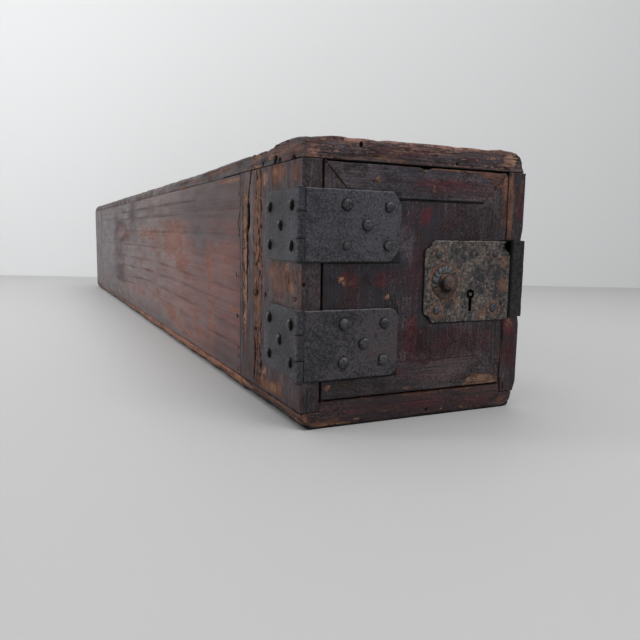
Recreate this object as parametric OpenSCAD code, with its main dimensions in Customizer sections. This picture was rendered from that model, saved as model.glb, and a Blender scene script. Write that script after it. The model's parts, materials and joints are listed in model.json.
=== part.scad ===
// Long wooden chest with a single iron-hinged door in its small end.
// Frame: X across the door end, Y from the door end (-Y) to the back, Z up.
// The origin is the centre of the underside. Sizes are millimetres.

/* [Case] */
// Length of the chest from the door end to the back
box_l = 1820; // [1400:10:2200]
// Width across the outer faces of the side walls
box_w = 266; // [256:1:320]
// Height from the floor to the top
box_h = 280; // [270:1:330]
// Thickness of the side walls
wall_t = 21; // [19:0.5:24]
// Thickness of the bottom board between the walls
bottom_t = 27.5; // [22:0.5:30]
// Height of the rebates that the walls stand on
rebate_h = 17; // [12:0.5:20]
// Thickness of the top board
top_t = 18.5; // [17:0.5:24]
// How far the top board stops short of the walls' outer faces
top_inset = 1.5; // [0.5:0.5:3]
// Radius of the top board's upper long edges
top_round = 15; // [8:0.5:16]
// Radius of the bottom board's lower long edges
bottom_round = 13; // [6:0.5:15]
// Radius of the upper and lower edges at the back end
rear_round = 11; // [4:0.5:15]
// Radius of the upper and lower edges at the door end
front_round = 3; // [1:0.5:6]
// Chamfer of the walls' outer front corners
arris = 1.5; // [0.5:0.25:3]
// Thickness of the back board
back_t = 18; // [14:0.5:24]

/* [Side wall joints] */
// Width of the upright stiles at both ends of a side wall
stile_w = 188; // [140:1:220]
// Length of the lap that a stile slips behind the long plank
lap_l = 18; // [14:0.5:26]
// Thickness of the lap
lap_t = 10; // [7:0.5:13]
// Gap left between boards at a joint
joint_gap = 0.2; // [0.1:0.05:0.3]
// Number of pegs through each lap
peg_n = 5; // [3:1:7]
// Radius of the pegs
peg_r = 2; // [1.5:0.1:3]
// Distance from the joint line to the pegs
peg_in = 6.5; // [5:0.5:9]
// Distance from the walls' ends to the outer pegs
peg_margin = 23; // [18:1:30]

/* [Case nails] */
// Number of nails along each long edge of the top and bottom boards
edge_nail_n = 8; // [5:1:11]
// Distance of the first and last nails from the ends
edge_nail_margin = 58; // [50:1:90]
// Radius of the case nails
case_nail_r = 1.8; // [1.4:0.1:2.4]
// Depth that the case nails reach into the second board
case_nail_bite = 12; // [9:0.5:14]
// Depth that the case nails' heads are sunk
case_nail_sink = 1.2; // [0.8:0.1:2]
// Radial clearance of nails, pegs and rivets in their holes
nail_fit = 0.05; // [0.02:0.01:0.1]

/* [Door] */
// Thickness of the door
door_t = 21; // [18:0.5:24]
// Gap between the door and the case all round
door_gap = 1.2; // [1:0.1:1.8]
// How far the door and its ironwork stand proud of the case front
door_proud = 0.3; // [0.2:0.05:0.5]
// Height of the mitred rails across the door's ends
rail_h = 33; // [26:0.5:34]
// Thickness of the panel's tongues
tongue_t = 7; // [5:0.5:9]
// Length of the panel's tongues inside the rails
tongue_l = 14; // [10:0.5:18]
// Distance from the mitres to the tongues' ends
tongue_in = 6; // [4:0.5:10]
// Bevel that lets the door's lock edge swing clear
lock_bevel = 1.6; // [1.2:0.1:2.4]
// Width of the door stops
stop_w = 10; // [7:0.5:14]
// Depth of the door stops
stop_d = 12; // [8:0.5:18]
// Gap between the closed door and its stops
stop_gap = 0.3; // [0.2:0.05:0.5]

/* [Hinges] */
// Height of a hinge
hinge_h = 70; // [60:1:76]
// Thickness of the hinge iron
hinge_t = 2; // [1.6:0.1:2.4]
// Distance of the hinge axis outside the walls' faces
axis_out = 3.5; // [3.3:0.1:4.5]
// Outer radius of the rolled knuckles
knuckle_r = 4.35; // [4.1:0.05:4.45]
// Radius of the hinge pins
pin_r = 2.3; // [1.8:0.1:2.6]
// Radial clearance of the pins in the knuckles
pin_fit = 0.05; // [0.02:0.01:0.1]
// Height of the middle knuckle
mid_knuckle_h = 25; // [20:1:30]
// Gap between one knuckle and the next
knuckle_gap = 0.3; // [0.2:0.05:0.6]
// Space between the knuckles and the leaf that turns past them
leaf_clear = 0.6; // [0.5:0.1:1]
// Length of a front leaf from the axis
front_leaf_l = 111; // [100:1:118]
// Length of a side leaf from the axis
side_leaf_l = 100; // [92:1:116]
// Size of the canted corners of the leaves
leaf_cant = 12; // [8:0.5:14]
// Height of the peened ends of the pins
peen_h = 1.4; // [0.8:0.1:2]
// Height of the upper hinge's middle below the top of the chest
upper_hinge_drop = 80.5; // [76:0.5:86]
// Height of the lower hinge's middle above the floor
lower_hinge_z = 83.5; // [78:0.5:88]

/* [Hinge nails] */
// Radius of the nail heads
head_r = 4.6; // [3.8:0.1:5.2]
// Height of the nail heads
head_h = 2.6; // [1.8:0.1:3]
// Radius of the nail shanks
shank_r = 1.7; // [1.3:0.1:2]
// Length of the nail shanks behind the iron
shank_l = 14; // [10:0.5:16]
// Distance from the leaf's free end to its outer nails
leaf_nail_in = 16; // [12:0.5:19]
// Distance between the inner and outer nails of a front leaf
front_nail_span = 46.5; // [40:0.5:50]
// Distance between the inner and outer nails of a side leaf
side_nail_span = 59; // [50:0.5:64]
// Distance of the outer nails above and below a hinge's middle
nail_spread = 19.5; // [16:0.5:22]

/* [Lock plate] */
// Width of the lock plate
plate_w = 112.3; // [106:0.5:120]
// Height of the lock plate
plate_h = 86; // [82:0.5:92]
// Thickness of the lock plate
plate_t = 1.8; // [1.4:0.1:2.4]
// Height of the lock plate's lower edge above the floor
plate_z = 101; // [96:0.5:106]
// How far the lock plate reaches over the side wall
plate_lap = 5.3; // [4:0.1:6]
// Size of the stepped corners of the plate
plate_cant = 12; // [8:0.5:14]
// Width of the torn corner beside the edge plate
torn_w = 8; // [5:0.5:10]
// Height of the torn corner
torn_h = 9; // [6:0.5:12]
// Radius of the plate nails' heads
plate_head_r = 3.7; // [3:0.1:4.4]
// Height of the plate nails' heads
plate_head_h = 1.5; // [1:0.1:2.2]
// Distance of the left nails from the plate's left edge
plate_nail_left = 16.5; // [14:0.5:19]
// Distance of the right nails from the plate's right edge
plate_nail_right = 21; // [18:0.5:23]
// Distance of the plate nails from its upper and lower edges
plate_nail_in = 13.5; // [12:0.5:15]
// Radius of the empty nail hole near the plate's right edge
spare_hole_r = 1.2; // [0.8:0.1:1.6]
// Distance of that hole from the plate's right edge
spare_hole_in = 10.5; // [8:0.5:14]
// Height of that hole above the plate's lower edge
spare_hole_up = 17.2; // [14:0.2:20]

/* [Pull] */
// Distance of the pull from the plate's left edge
pull_in = 25.8; // [24:0.2:28]
// Height of the pull above the plate's lower edge
pull_up = 42.5; // [40:0.5:45]
// Radius of the flower washer
flower_r = 16.8; // [14:0.2:18]
// Height of the flower washer's dome
flower_h = 4.6; // [3.5:0.1:6]
// Thickness of the flower washer's sheet
flower_t = 1.1; // [0.8:0.1:1.5]
// Number of petals round the flower washer
petal_n = 30; // [20:1:36]
// Depth of the cuts between the petals
petal_cut = 1; // [0.6:0.1:1.3]
// Radius of the pull's button
button_r = 5.6; // [4.5:0.1:6.5]
// Height of the pull's button
button_h = 5.2; // [4:0.1:7]
// Radius of the pull's stem
stem_r = 2.8; // [2:0.1:3.2]
// Length of each clenched leg behind the door
leg_l = 15; // [10:0.5:20]
// Thickness of the clenched legs
leg_t = 2.2; // [1.6:0.1:2.6]
// Radius of the small rivet's head in the flower washer's rim
rim_rivet_r = 2.1; // [1.6:0.1:2.6]
// Length of the small rivet under its head
rim_rivet_l = 7; // [5:0.5:9]

/* [Lock] */
// Distance of the keyhole from the plate's right edge
key_in = 52.3; // [50:0.5:54]
// Height of the keyhole's centre above the plate's lower edge
key_up = 29; // [28:0.5:30]
// Radius of the keyhole's round part
keyhole_r = 5.2; // [4.5:0.1:6]
// Width of the keyhole's slot
key_slot_w = 4.2; // [3.4:0.1:5]
// Reach of the key's bit from the post
key_reach = 18.5; // [17.5:0.25:19.5]
// Radius of the key post
post_r = 2; // [1.6:0.1:2.4]
// Width of the lock case along the bolt
case_w = 64; // [60:0.5:68]
// Depth of the lock case inside the door
case_d = 12; // [11:0.5:14]
// Thickness of the lock case's iron
case_t = 1.5; // [1.2:0.1:2]
// Gap round the lock case in its pocket
case_gap = 0.3; // [0.1:0.05:0.3]
// Height of the bolt
bolt_h = 19; // [17:0.5:20]
// Thickness of the bolt
bolt_t = 4; // [3:0.25:5]
// Travel of the bolt
bolt_throw = 12; // [10:0.5:13]
// Gap round the sliding bolt
bolt_gap = 0.3; // [0.2:0.05:0.5]
// Depth of the notch that the key turns in
talon_d = 6; // [4:0.5:7]
// Width of that notch
talon_w = 8; // [6:0.5:10]
// Radius of the two pillars that the bolt slides on
pillar_r = 2.2; // [1.8:0.1:2.6]
// Radius of the riveted ends of the post and the pillars
rivet_r = 1.4; // [1:0.1:1.6]
// Room for the spring above the bolt
spring_room = 4.5; // [4:0.25:5.5]
// Thickness of the bolt spring
spring_t = 0.8; // [0.5:0.05:1]
// Length of the bolt spring's bow
spring_l = 40; // [32:1:44]

/* [Edge plate] */
// Thickness of the edge plate
edge_t = 2; // [1.5:0.1:2.5]
// Height of the edge plate
edge_h = 84.5; // [80:0.5:90]
// Height of the edge plate's lower edge above the lock plate's
edge_up = 2.5; // [1:0.5:5]
// Gap between the lock plate and the edge plate
edge_gap = 0.7; // [0.5:0.1:1.2]
// Reach of the edge plate round the wall's outer face
edge_side_w = 44; // [38:1:60]
// Radius of the edge plate's outer bend
edge_bend = 2.5; // [2.2:0.1:3]
// Distance of the edge plate's nails from its edges
edge_nail_in = 11; // [9:0.5:14]
// Room round the bolt's end in its mortise
mortise_room = 2; // [1:0.25:3]

/* [Hidden] */

$fn = 48;
over = 1;                                    // how far cutting shapes run past a face
old_wood = "#4a2a26";
end_wood = "#5a332b";
peg_wood = "#2c1b17";
iron = "#35363a";
rusty_iron = "#6b625c";
bright_iron = "#7d7a76";

half_w = box_w / 2;
half_l = box_l / 2;
front_y = -half_l;                           // plane of the case's door end
inner_half = half_w - wall_t;                // walls' inner faces
wall_top = box_h - top_t;
wall_h = wall_top - rebate_h;
wall_mid = half_w - wall_t / 2;
joint_y = half_l - stile_w;                  // joint line of stile and plank
outer_lap_t = wall_t - lap_t - joint_gap;    // plank's thickness over the lap

door_y = front_y - door_proud;               // plane of the door's face
door_x = inner_half - door_gap;
door_z0 = bottom_t + door_gap;
door_z1 = wall_top - door_gap;
stop_y = door_y + door_t + stop_gap;

axis_x = -half_w - axis_out;
axis_y = front_y - axis_out;
leaf_start = knuckle_r + leaf_clear;
upper_hinge_z = box_h - upper_hinge_drop;
outer_z0 = mid_knuckle_h / 2 + knuckle_gap;  // start of the outer knuckles from a hinge's middle

plate_x1 = inner_half + plate_lap;
plate_x0 = plate_x1 - plate_w;
plate_face = door_y - plate_t;
plate_z1 = plate_z + plate_h;
pull_x = plate_x0 + pull_in;
pull_z = plate_z + pull_up;
dome_r = (flower_r * flower_r + flower_h * flower_h) / (2 * flower_h);

key_x = plate_x1 - key_in;
key_z = plate_z + key_up;
case_x1 = door_x - lock_bevel - case_gap;
case_x0 = case_x1 - case_w;
case_back = door_y + case_d - case_t;        // inner face of the case's back
bolt_z0 = key_z + key_reach - talon_d;
bolt_z1 = bolt_z0 + bolt_h;
bolt_y0 = (door_y + case_back - bolt_t) / 2;
bolt_x0 = case_x0 + case_t + mortise_room;
case_z1 = bolt_z1 + spring_room + case_t;
case_z0 = key_z - key_reach - mortise_room - case_t;
key_room_x1 = key_x + key_reach + mortise_room + case_t;
key_room_z1 = bolt_z0 - bolt_gap - case_t;
slot_margin = 3;                             // iron left at the ends of the bolt's slots
slot_r = pillar_r + bolt_gap;
pillar_z = (bolt_z0 + bolt_z1) / 2;
pillar_xs = [bolt_x0 + slot_margin + bolt_throw + slot_r, case_x1 - 4 * slot_margin - slot_r];

spring_x = (case_x0 + case_x1) / 2;
spring_top = case_z1 - case_t;
spring_tab = 6;                              // flat end that is riveted to the case
spring_drop = spring_room - spring_t - bolt_gap;
spring_bow_r = (spring_l * spring_l / 4 + spring_drop * spring_drop) / (2 * spring_drop);

edge_x0 = plate_x1 + edge_gap;
edge_z0 = plate_z + edge_up;
edge_z1 = edge_z0 + edge_h;

// ---- places of what repeats -------------------------------------------------

function spaced(first, last, n) = [for (i = [0 : n - 1]) first + (last - first) * i / (n - 1)];

peg_zs = spaced(rebate_h + peg_margin, wall_top - peg_margin, peg_n);
edge_nail_ys = spaced(front_y + edge_nail_margin, half_l - edge_nail_margin, edge_nail_n);

module both_sides() {
    for (side = [0, 1]) mirror([side, 0, 0]) children();
}

// A child drawn pointing up (+Z) is set pointing out of the left wall.
module peg_places() {
    both_sides() for (end = [0, 1]) mirror([0, end, 0]) for (z = peg_zs)
        translate([-half_w, -joint_y + peg_in, z]) rotate([0, -90, 0]) children();
}

module top_nail_places() {
    both_sides() for (y = edge_nail_ys) translate([wall_mid, y, box_h]) children();
}

module bottom_nail_places() {
    both_sides() for (y = edge_nail_ys) translate([wall_mid, y, 0]) mirror([0, 0, 1]) children();
}

module back_nail_places() {
    both_sides() for (z = peg_zs)
        translate([-half_w, half_l - back_t / 2, z]) rotate([0, -90, 0]) children();
}

// Five nails of a leaf: two near the free end, one in the middle, two near the knuckles.
module five_nails(leaf_l, span) {
    outer = leaf_l - leaf_nail_in;
    for (u = [outer - span, outer], v = [-nail_spread, nail_spread]) translate([u, v, 0]) children();
    translate([outer - span / 2, 0, 0]) children();
}

// Flat work on the door's face: x and z of the chest, drawn on the XY plane, +Z outwards.
module on_front(y) {
    translate([0, y, 0]) rotate([90, 0, 0]) children();
}

module on_left() {
    translate([-half_w, 0, 0]) rotate([90, 0, -90]) mirror([1, 0, 0]) children();
}

module on_right() {
    translate([half_w, 0, 0]) rotate([90, 0, 90]) children();
}

module front_nail_places(z) {
    on_front(door_y - hinge_t) translate([axis_x, z, 0]) five_nails(front_leaf_l, front_nail_span) children();
}

module side_nail_places(z) {
    on_left() translate([axis_y, z, hinge_t]) five_nails(side_leaf_l, side_nail_span) children();
}

module plate_nail_places() {
    on_front(plate_face)
        for (x = [plate_x0 + plate_nail_left, plate_x1 - plate_nail_right],
             z = [plate_z + plate_nail_in, plate_z1 - plate_nail_in])
            translate([x, z, 0]) children();
}

module edge_nail_places() {
    on_right()
        for (y = [front_y + 2 * edge_nail_in, front_y + edge_side_w - edge_nail_in],
             z = [edge_z0 + edge_nail_in, edge_z1 - edge_nail_in])
            translate([y, z, edge_t]) children();
}

module pull_place(y) {
    on_front(y) translate([pull_x, pull_z, 0]) children();
}

// The washer's dome is spot-faced under the rivet's head.
module washer_rivet_place() {
    r = flower_r - rim_rivet_r;
    seat = flower_h - dome_r + sqrt(dome_r * dome_r - r * r);
    pull_place(plate_face) rotate([0, 0, 45]) translate([r, 0, seat]) children();
}

module rim_rivet_hole() {
    hole(rim_rivet_r / 2, rim_rivet_l + over);
}

// ---- nails and holes --------------------------------------------------------

// A hand-forged nail, its seat at z = 0: a domed head above and a pointed shank below.
module nail(r, h, shank, l) {
    rim = h / 4;
    dome_h = h - rim;
    dome_r = (r * r + dome_h * dome_h) / (2 * dome_h);
    point_l = 2 * shank;
    rotate_extrude() polygon(concat(
        [[0, -l], [shank / 3, -l], [shank, -l + point_l], [shank, 0], [r, 0]],
        [for (i = [0 : 5]) let (a = asin(r / dome_r) * (1 - i / 6))
            [dome_r * sin(a), h - dome_r + dome_r * cos(a)]],
        [[0, h]]));
}

module hole(r, l) {
    translate([0, 0, -l]) cylinder(r = r + nail_fit, h = l + over);
}

module leaf_nail() {
    nail(head_r, head_h, shank_r, shank_l + hinge_t);
}

module leaf_nail_hole() {
    hole(shank_r, shank_l + hinge_t + over);
}

module small_nail() {
    nail(plate_head_r, plate_head_h, shank_r, shank_l);
}

module small_nail_hole() {
    hole(shank_r, shank_l + over);
}

// A headless case nail whose end is sunk below the surface.
module case_nail(first) {
    translate([0, 0, -first - case_nail_bite])
        cylinder(r = case_nail_r, h = first + case_nail_bite - case_nail_sink);
}

module case_nail_hole(first) {
    hole(case_nail_r, first + case_nail_bite);
}

// The sunk ends leave shallow pits, so a hole runs from above the surface to the nail's point.
module top_nail_holes() {
    top_nail_places() case_nail_hole(top_t);
}

module bottom_nail_holes() {
    bottom_nail_places() case_nail_hole(rebate_h);
}

module back_nail_holes() {
    back_nail_places() case_nail_hole(wall_t);
}

module peg_holes() {
    peg_places() hole(peg_r, wall_t + over);
}

// ---- case boards ------------------------------------------------------------

// What rounding a rectangle's upper left corner, at the origin, takes away.
module corner_waste(r) {
    difference() {
        translate([-over, -r]) square(r + over);
        translate([r, -r]) circle(r);
    }
}

// A rectangle with its two upper corners rounded.
module rounded_slab(w, t, r0, r1) {
    difference() {
        square([w, t]);
        translate([0, t]) corner_waste(r0);
        translate([w, t]) mirror([1, 0]) corner_waste(r1);
    }
}

// A board as long as the chest, its upper edges rounded along its sides and across its ends.
module round_board(w, t, edge_r) {
    intersection() {
        translate([-w / 2, half_l, 0]) rotate([90, 0, 0])
            linear_extrude(box_l) rounded_slab(w, t, edge_r, edge_r);
        translate([-half_w, front_y, 0]) rotate([90, 0, 90])
            linear_extrude(box_w) rounded_slab(box_l, t, front_round, rear_round);
    }
}

module bottom_board() {
    color(old_wood) difference() {
        translate([0, 0, bottom_t]) mirror([0, 0, 1]) round_board(box_w, bottom_t, bottom_round);
        both_sides() translate([inner_half, front_y - over, rebate_h])
            cube([wall_t + over, box_l + 2 * over, bottom_t]);
        bottom_nail_holes();
    }
}

module top_board() {
    color(old_wood) difference() {
        translate([0, 0, wall_top]) round_board(box_w - 2 * top_inset, top_t, top_round);
        top_nail_holes();
    }
}

// The left wall's front stile: an upright board with a lap behind the plank.
module stile_blank() {
    translate([-half_w, front_y, rebate_h]) cube([wall_t, stile_w, wall_h]);
    translate([-inner_half - lap_t, front_y, rebate_h]) cube([lap_t, stile_w + lap_l, wall_h]);
}

module stile() {
    difference() {
        stile_blank();
        translate([-half_w, front_y, rebate_h + wall_h / 2]) rotate([0, 0, 45])
            cube([arris * sqrt(2), arris * sqrt(2), wall_h + over], center = true);
        peg_holes();
        top_nail_holes();
        bottom_nail_holes();
    }
}

module left_front_stile() {
    color(end_wood) difference() {
        stile();
        side_nail_places(upper_hinge_z) leaf_nail_hole();
        side_nail_places(lower_hinge_z) leaf_nail_hole();
    }
}

// The mortise is open to the front behind the lock plate's lap.
module bolt_mortise() {
    x1 = case_x1 + bolt_throw + mortise_room;
    y1 = bolt_y0 + bolt_t + mortise_room;
    z0 = bolt_z0 - mortise_room;
    z1 = edge_z1 - mortise_room;
    translate([inner_half - over, front_y - over, z0])
        cube([x1 - inner_half + over, y1 - front_y + over, z1 - z0]);
}

module right_front_stile() {
    color(end_wood) difference() {
        mirror([1, 0, 0]) stile();
        bolt_mortise();
        edge_nail_places() small_nail_hole();
    }
}

module rear_stile() {
    difference() {
        mirror([0, 1, 0]) stile();
        back_nail_holes();
    }
}

module left_rear_stile() {
    color(end_wood) rear_stile();
}

module right_rear_stile() {
    color(end_wood) mirror([1, 0, 0]) rear_stile();
}

// The left wall's plank, thinned at both ends to lie over the stiles' laps.
module side_plank() {
    lap_end = joint_y - lap_l - joint_gap;
    plank_end = joint_y - joint_gap;
    difference() {
        union() {
            translate([-half_w, -plank_end, rebate_h]) cube([outer_lap_t, 2 * plank_end, wall_h]);
            translate([-half_w, -lap_end, rebate_h]) cube([wall_t, 2 * lap_end, wall_h]);
        }
        peg_holes();
        top_nail_holes();
        bottom_nail_holes();
    }
}

module left_side_plank() {
    color(old_wood) side_plank();
}

module right_side_plank() {
    color(old_wood) mirror([1, 0, 0]) side_plank();
}

module back_board() {
    color(end_wood) difference() {
        translate([-inner_half, half_l - back_t, bottom_t])
            cube([2 * inner_half, back_t, wall_top - bottom_t]);
        back_nail_holes();
    }
}

// An upright strip against the left wall, behind the door.
module door_stop() {
    translate([-inner_half, stop_y, bottom_t]) cube([stop_w, stop_d, wall_top - bottom_t]);
}

module hinge_side_stop() {
    color(end_wood) door_stop();
}

module lock_side_stop() {
    color(end_wood) mirror([1, 0, 0]) door_stop();
}

module side_joint_pegs() {
    color(peg_wood) peg_places() translate([0, 0, -wall_t]) cylinder(r = peg_r, h = wall_t);
}

module top_board_nails() {
    color(iron) top_nail_places() case_nail(top_t);
}

module bottom_board_nails() {
    color(iron) bottom_nail_places() case_nail(rebate_h);
}

module back_board_nails() {
    color(iron) back_nail_places() case_nail(wall_t);
}

// ---- hinges -----------------------------------------------------------------

// A leaf on the XY plane with the axis at x = 0, its free corners canted.
module leaf_outline(l) {
    h = hinge_h / 2;
    c = leaf_cant;
    polygon([[leaf_start, -h], [l - c, -h], [l, c - h], [l, h - c], [l - c, h], [leaf_start, h]]);
}

// The strips that run from a leaf to the knuckles that it carries.
module knuckle_strip(z0, z1) {
    translate([0, z0]) square([leaf_start + over, z1 - z0]);
}

module knuckle(z, z0, z1) {
    translate([axis_x, axis_y, z + z0]) cylinder(r = knuckle_r, h = z1 - z0);
}

module pin_bore(z) {
    translate([axis_x, axis_y, z - hinge_h]) cylinder(r = pin_r + pin_fit, h = 2 * hinge_h);
}

// The front leaf carries the middle knuckle and is nailed to the door.
module front_leaf(z) {
    m = mid_knuckle_h / 2;
    difference() {
        union() {
            on_front(door_y) translate([axis_x, z, 0]) linear_extrude(hinge_t) {
                leaf_outline(front_leaf_l);
                knuckle_strip(-m, m);
            }
            knuckle(z, -m, m);
        }
        pin_bore(z);
        front_nail_places(z) leaf_nail_hole();
    }
}

// The side leaf carries the two outer knuckles and is nailed to the wall.
module side_leaf(z) {
    h = hinge_h / 2;
    difference() {
        union() {
            on_left() translate([axis_y, z, 0]) linear_extrude(hinge_t) {
                leaf_outline(side_leaf_l);
                knuckle_strip(-h, -outer_z0);
                knuckle_strip(outer_z0, h);
            }
            knuckle(z, -h, -outer_z0);
            knuckle(z, outer_z0, h);
        }
        pin_bore(z);
        side_nail_places(z) leaf_nail_hole();
    }
}

// A pin with peened ends that bear on the outer knuckles.
module hinge_pin(z) {
    h = hinge_h / 2 + pin_fit;
    peen_r = (pin_r + knuckle_r) / 2;
    translate([axis_x, axis_y, z]) rotate_extrude() polygon([
        [0, -h - peen_h], [peen_r * 0.6, -h - peen_h], [peen_r, -h - peen_h / 2], [peen_r, -h],
        [pin_r, -h], [pin_r, h],
        [peen_r, h], [peen_r, h + peen_h / 2], [peen_r * 0.6, h + peen_h], [0, h + peen_h]]);
}

module upper_side_leaf() {
    color(iron) side_leaf(upper_hinge_z);
}

module lower_side_leaf() {
    color(iron) side_leaf(lower_hinge_z);
}

module upper_front_leaf() {
    color(iron) front_leaf(upper_hinge_z);
}

module lower_front_leaf() {
    color(iron) front_leaf(lower_hinge_z);
}

module upper_hinge_pin() {
    color(bright_iron) hinge_pin(upper_hinge_z);
}

module lower_hinge_pin() {
    color(bright_iron) hinge_pin(lower_hinge_z);
}

module upper_side_nails() {
    color(iron) side_nail_places(upper_hinge_z) leaf_nail();
}

module lower_side_nails() {
    color(iron) side_nail_places(lower_hinge_z) leaf_nail();
}

module upper_front_nails() {
    color(iron) front_nail_places(upper_hinge_z) leaf_nail();
}

module lower_front_nails() {
    color(iron) front_nail_places(lower_hinge_z) leaf_nail();
}

// ---- edge plate on the lock-side wall ---------------------------------------

// An angle of sheet iron bent round the wall's corner, seen from above.
module edge_plate_profile() {
    x1 = half_w + edge_t;
    y0 = front_y - edge_t;
    difference() {
        union() {
            translate([edge_x0, y0]) square([x1 - edge_bend - edge_x0, edge_t]);
            translate([half_w, y0 + edge_bend]) square([edge_t, edge_side_w + edge_t - edge_bend]);
            translate([x1 - edge_bend, y0 + edge_bend]) circle(edge_bend);
        }
        translate([edge_x0, front_y]) square([half_w - edge_x0, edge_bend + over]);
    }
}

module edge_plate() {
    color(iron) difference() {
        translate([0, 0, edge_z0]) linear_extrude(edge_h) edge_plate_profile();
        edge_nail_places() small_nail_hole();
    }
}

module edge_plate_nails() {
    color(iron) edge_nail_places() small_nail();
}

// ---- door -------------------------------------------------------------------

// Everything that is cut out of the door's boards.
module door_cuts() {
    front_nail_places(upper_hinge_z) leaf_nail_hole();
    front_nail_places(lower_hinge_z) leaf_nail_hole();
    plate_nail_places() small_nail_hole();
    washer_rivet_place() rim_rivet_hole();
    pull_place(door_y) hole(stem_r, door_t + over);
    lock_pocket();
    translate([0, 0, door_z0 - over]) linear_extrude(door_z1 - door_z0 + 2 * over)
        polygon([[door_x, door_y], [door_x + over, door_y], [door_x + over, door_y + door_t + over],
            [door_x - lock_bevel, door_y + door_t + over], [door_x - lock_bevel, door_y + door_t]]);
}

// The upper rail's face: a mitre runs from each corner of the door.
module rail_outline(gap) {
    polygon([[-door_x + gap, door_z1], [-door_x + rail_h + gap, door_z1 - rail_h + gap],
        [door_x - rail_h - gap, door_z1 - rail_h + gap], [door_x - gap, door_z1]]);
}

module mirror_door() {
    translate([0, 0, door_z0 + door_z1]) mirror([0, 0, 1]) children();
}

// The panel's upper tongue, or the groove for it.
module tongue(gap) {
    half = door_x - rail_h - tongue_in + gap;
    translate([-half, door_y + (door_t - tongue_t) / 2 - gap, door_z1 - rail_h - over])
        cube([2 * half, tongue_t + 2 * gap, tongue_l + gap + over]);
}

module door_rail() {
    difference() {
        on_front(door_y + door_t) linear_extrude(door_t) rail_outline(joint_gap);
        tongue(joint_gap);
    }
}

module door_panel() {
    color(old_wood) difference() {
        union() {
            difference() {
                translate([-door_x, door_y, door_z0]) cube([2 * door_x, door_t, door_z1 - door_z0]);
                on_front(door_y + door_t + over) linear_extrude(door_t + 2 * over) rail_outline(0);
                mirror_door() on_front(door_y + door_t + over)
                    linear_extrude(door_t + 2 * over) rail_outline(0);
            }
            tongue(0);
            mirror_door() tongue(0);
        }
        door_cuts();
    }
}

module door_top_rail() {
    color(old_wood) difference() {
        door_rail();
        door_cuts();
    }
}

module door_bottom_rail() {
    color(old_wood) difference() {
        mirror_door() door_rail();
        door_cuts();
    }
}

// ---- lock plate and pull ----------------------------------------------------

// A corner at the origin, cut away towards +X and +Y in two small steps.
module stepped_corner() {
    c = plate_cant;
    polygon([[-over, -over], [c, -over], [c, 0], [c * 0.72, c * 0.2], [c * 0.62, c * 0.46],
        [c * 0.46, c * 0.62], [c * 0.2, c * 0.72], [0, c], [-over, c]]);
}

module keyhole() {
    circle(keyhole_r);
    translate([-key_slot_w / 2, -key_reach]) square([key_slot_w, key_reach]);
}

module plate_outline() {
    difference() {
        translate([plate_x0, plate_z]) square([plate_w, plate_h]);
        translate([plate_x0, plate_z]) stepped_corner();
        translate([plate_x0, plate_z1]) mirror([0, 1]) stepped_corner();
        translate([plate_x1, plate_z1]) polygon([[over, over], [-torn_w, over], [-torn_w * 0.9, -torn_h * 0.4],
            [-torn_w, -torn_h * 0.9], [-torn_w * 0.5, -torn_h], [over, -torn_h * 0.9]]);
        translate([key_x, key_z]) keyhole();
        translate([plate_x1 - spare_hole_in, plate_z + spare_hole_up]) circle(spare_hole_r);
    }
}

module lock_plate() {
    color(rusty_iron) difference() {
        on_front(door_y) linear_extrude(plate_t) plate_outline();
        plate_nail_places() small_nail_hole();
        washer_rivet_place() rim_rivet_hole();
        pull_place(plate_face) hole(stem_r, plate_t + over);
        pillar_places() hole(rivet_r, case_d);
    }
}

module lock_plate_nails() {
    color(rusty_iron) plate_nail_places() small_nail();
}

// A domed washer cut round its rim into petals.
module flower_washer() {
    color(rusty_iron) difference() {
        pull_place(plate_face) difference() {
            intersection() {
                translate([0, 0, flower_h - dome_r]) sphere(dome_r, $fn = 96);
                cylinder(r = flower_r + over, h = flower_h + over);
            }
            translate([0, 0, flower_h - dome_r]) sphere(dome_r - flower_t, $fn = 96);
            for (i = [0 : petal_n - 1]) rotate([0, 0, 360 * (i + 0.5) / petal_n])
                translate([flower_r, 0, -over]) cylinder(r = petal_cut, h = flower_h + 2 * over, $fn = 16);
            translate([0, 0, -over]) cylinder(r = stem_r + nail_fit, h = flower_h + 2 * over);
        }
        washer_rivet_place() {
            rim_rivet_hole();
            cylinder(r = rim_rivet_r + nail_fit, h = flower_h);
        }
    }
}

module washer_rivet() {
    color(rusty_iron) washer_rivet_place() nail(rim_rivet_r, rim_rivet_r / 2, rim_rivet_r / 2, rim_rivet_l);
}

// A button on a stem that passes through the door and splits into two clenched legs.
module pull_stud() {
    crown = button_h * 0.6;
    back = door_t + plate_t;
    color(bright_iron) pull_place(plate_face) {
        rotate_extrude() polygon([[0, -back - leg_t], [stem_r, -back - leg_t], [stem_r, flower_h],
            [button_r, flower_h], [button_r, flower_h + button_h - crown],
            [button_r * 0.87, flower_h + button_h - crown / 2],
            [button_r * 0.5, flower_h + button_h - crown / 8], [0, flower_h + button_h]]);
        translate([-stem_r * 0.8, -leg_l, -back - leg_t]) cube([stem_r * 1.6, 2 * leg_l, leg_t]);
    }
}

// ---- lock -------------------------------------------------------------------

// The case's outline on the door: a long room for the bolt and a lower one for the key.
module case_outline(grow) {
    translate([case_x0 - grow, key_room_z1 - grow])
        square([case_w + 2 * grow, case_z1 - key_room_z1 + 2 * grow]);
    translate([case_x0 - grow, case_z0 - grow])
        square([key_room_x1 - case_x0 + 2 * grow, case_z1 - case_z0 + 2 * grow]);
}

// The pocket in the door's face, open at the lock edge.
module lock_pocket() {
    depth = case_d + case_gap;
    on_front(door_y + depth) linear_extrude(depth + over) {
        case_outline(case_gap);
        translate([case_x1, key_room_z1 - case_gap])
            square([door_x - case_x1 + over, case_z1 - key_room_z1 + 2 * case_gap]);
    }
}

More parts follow.
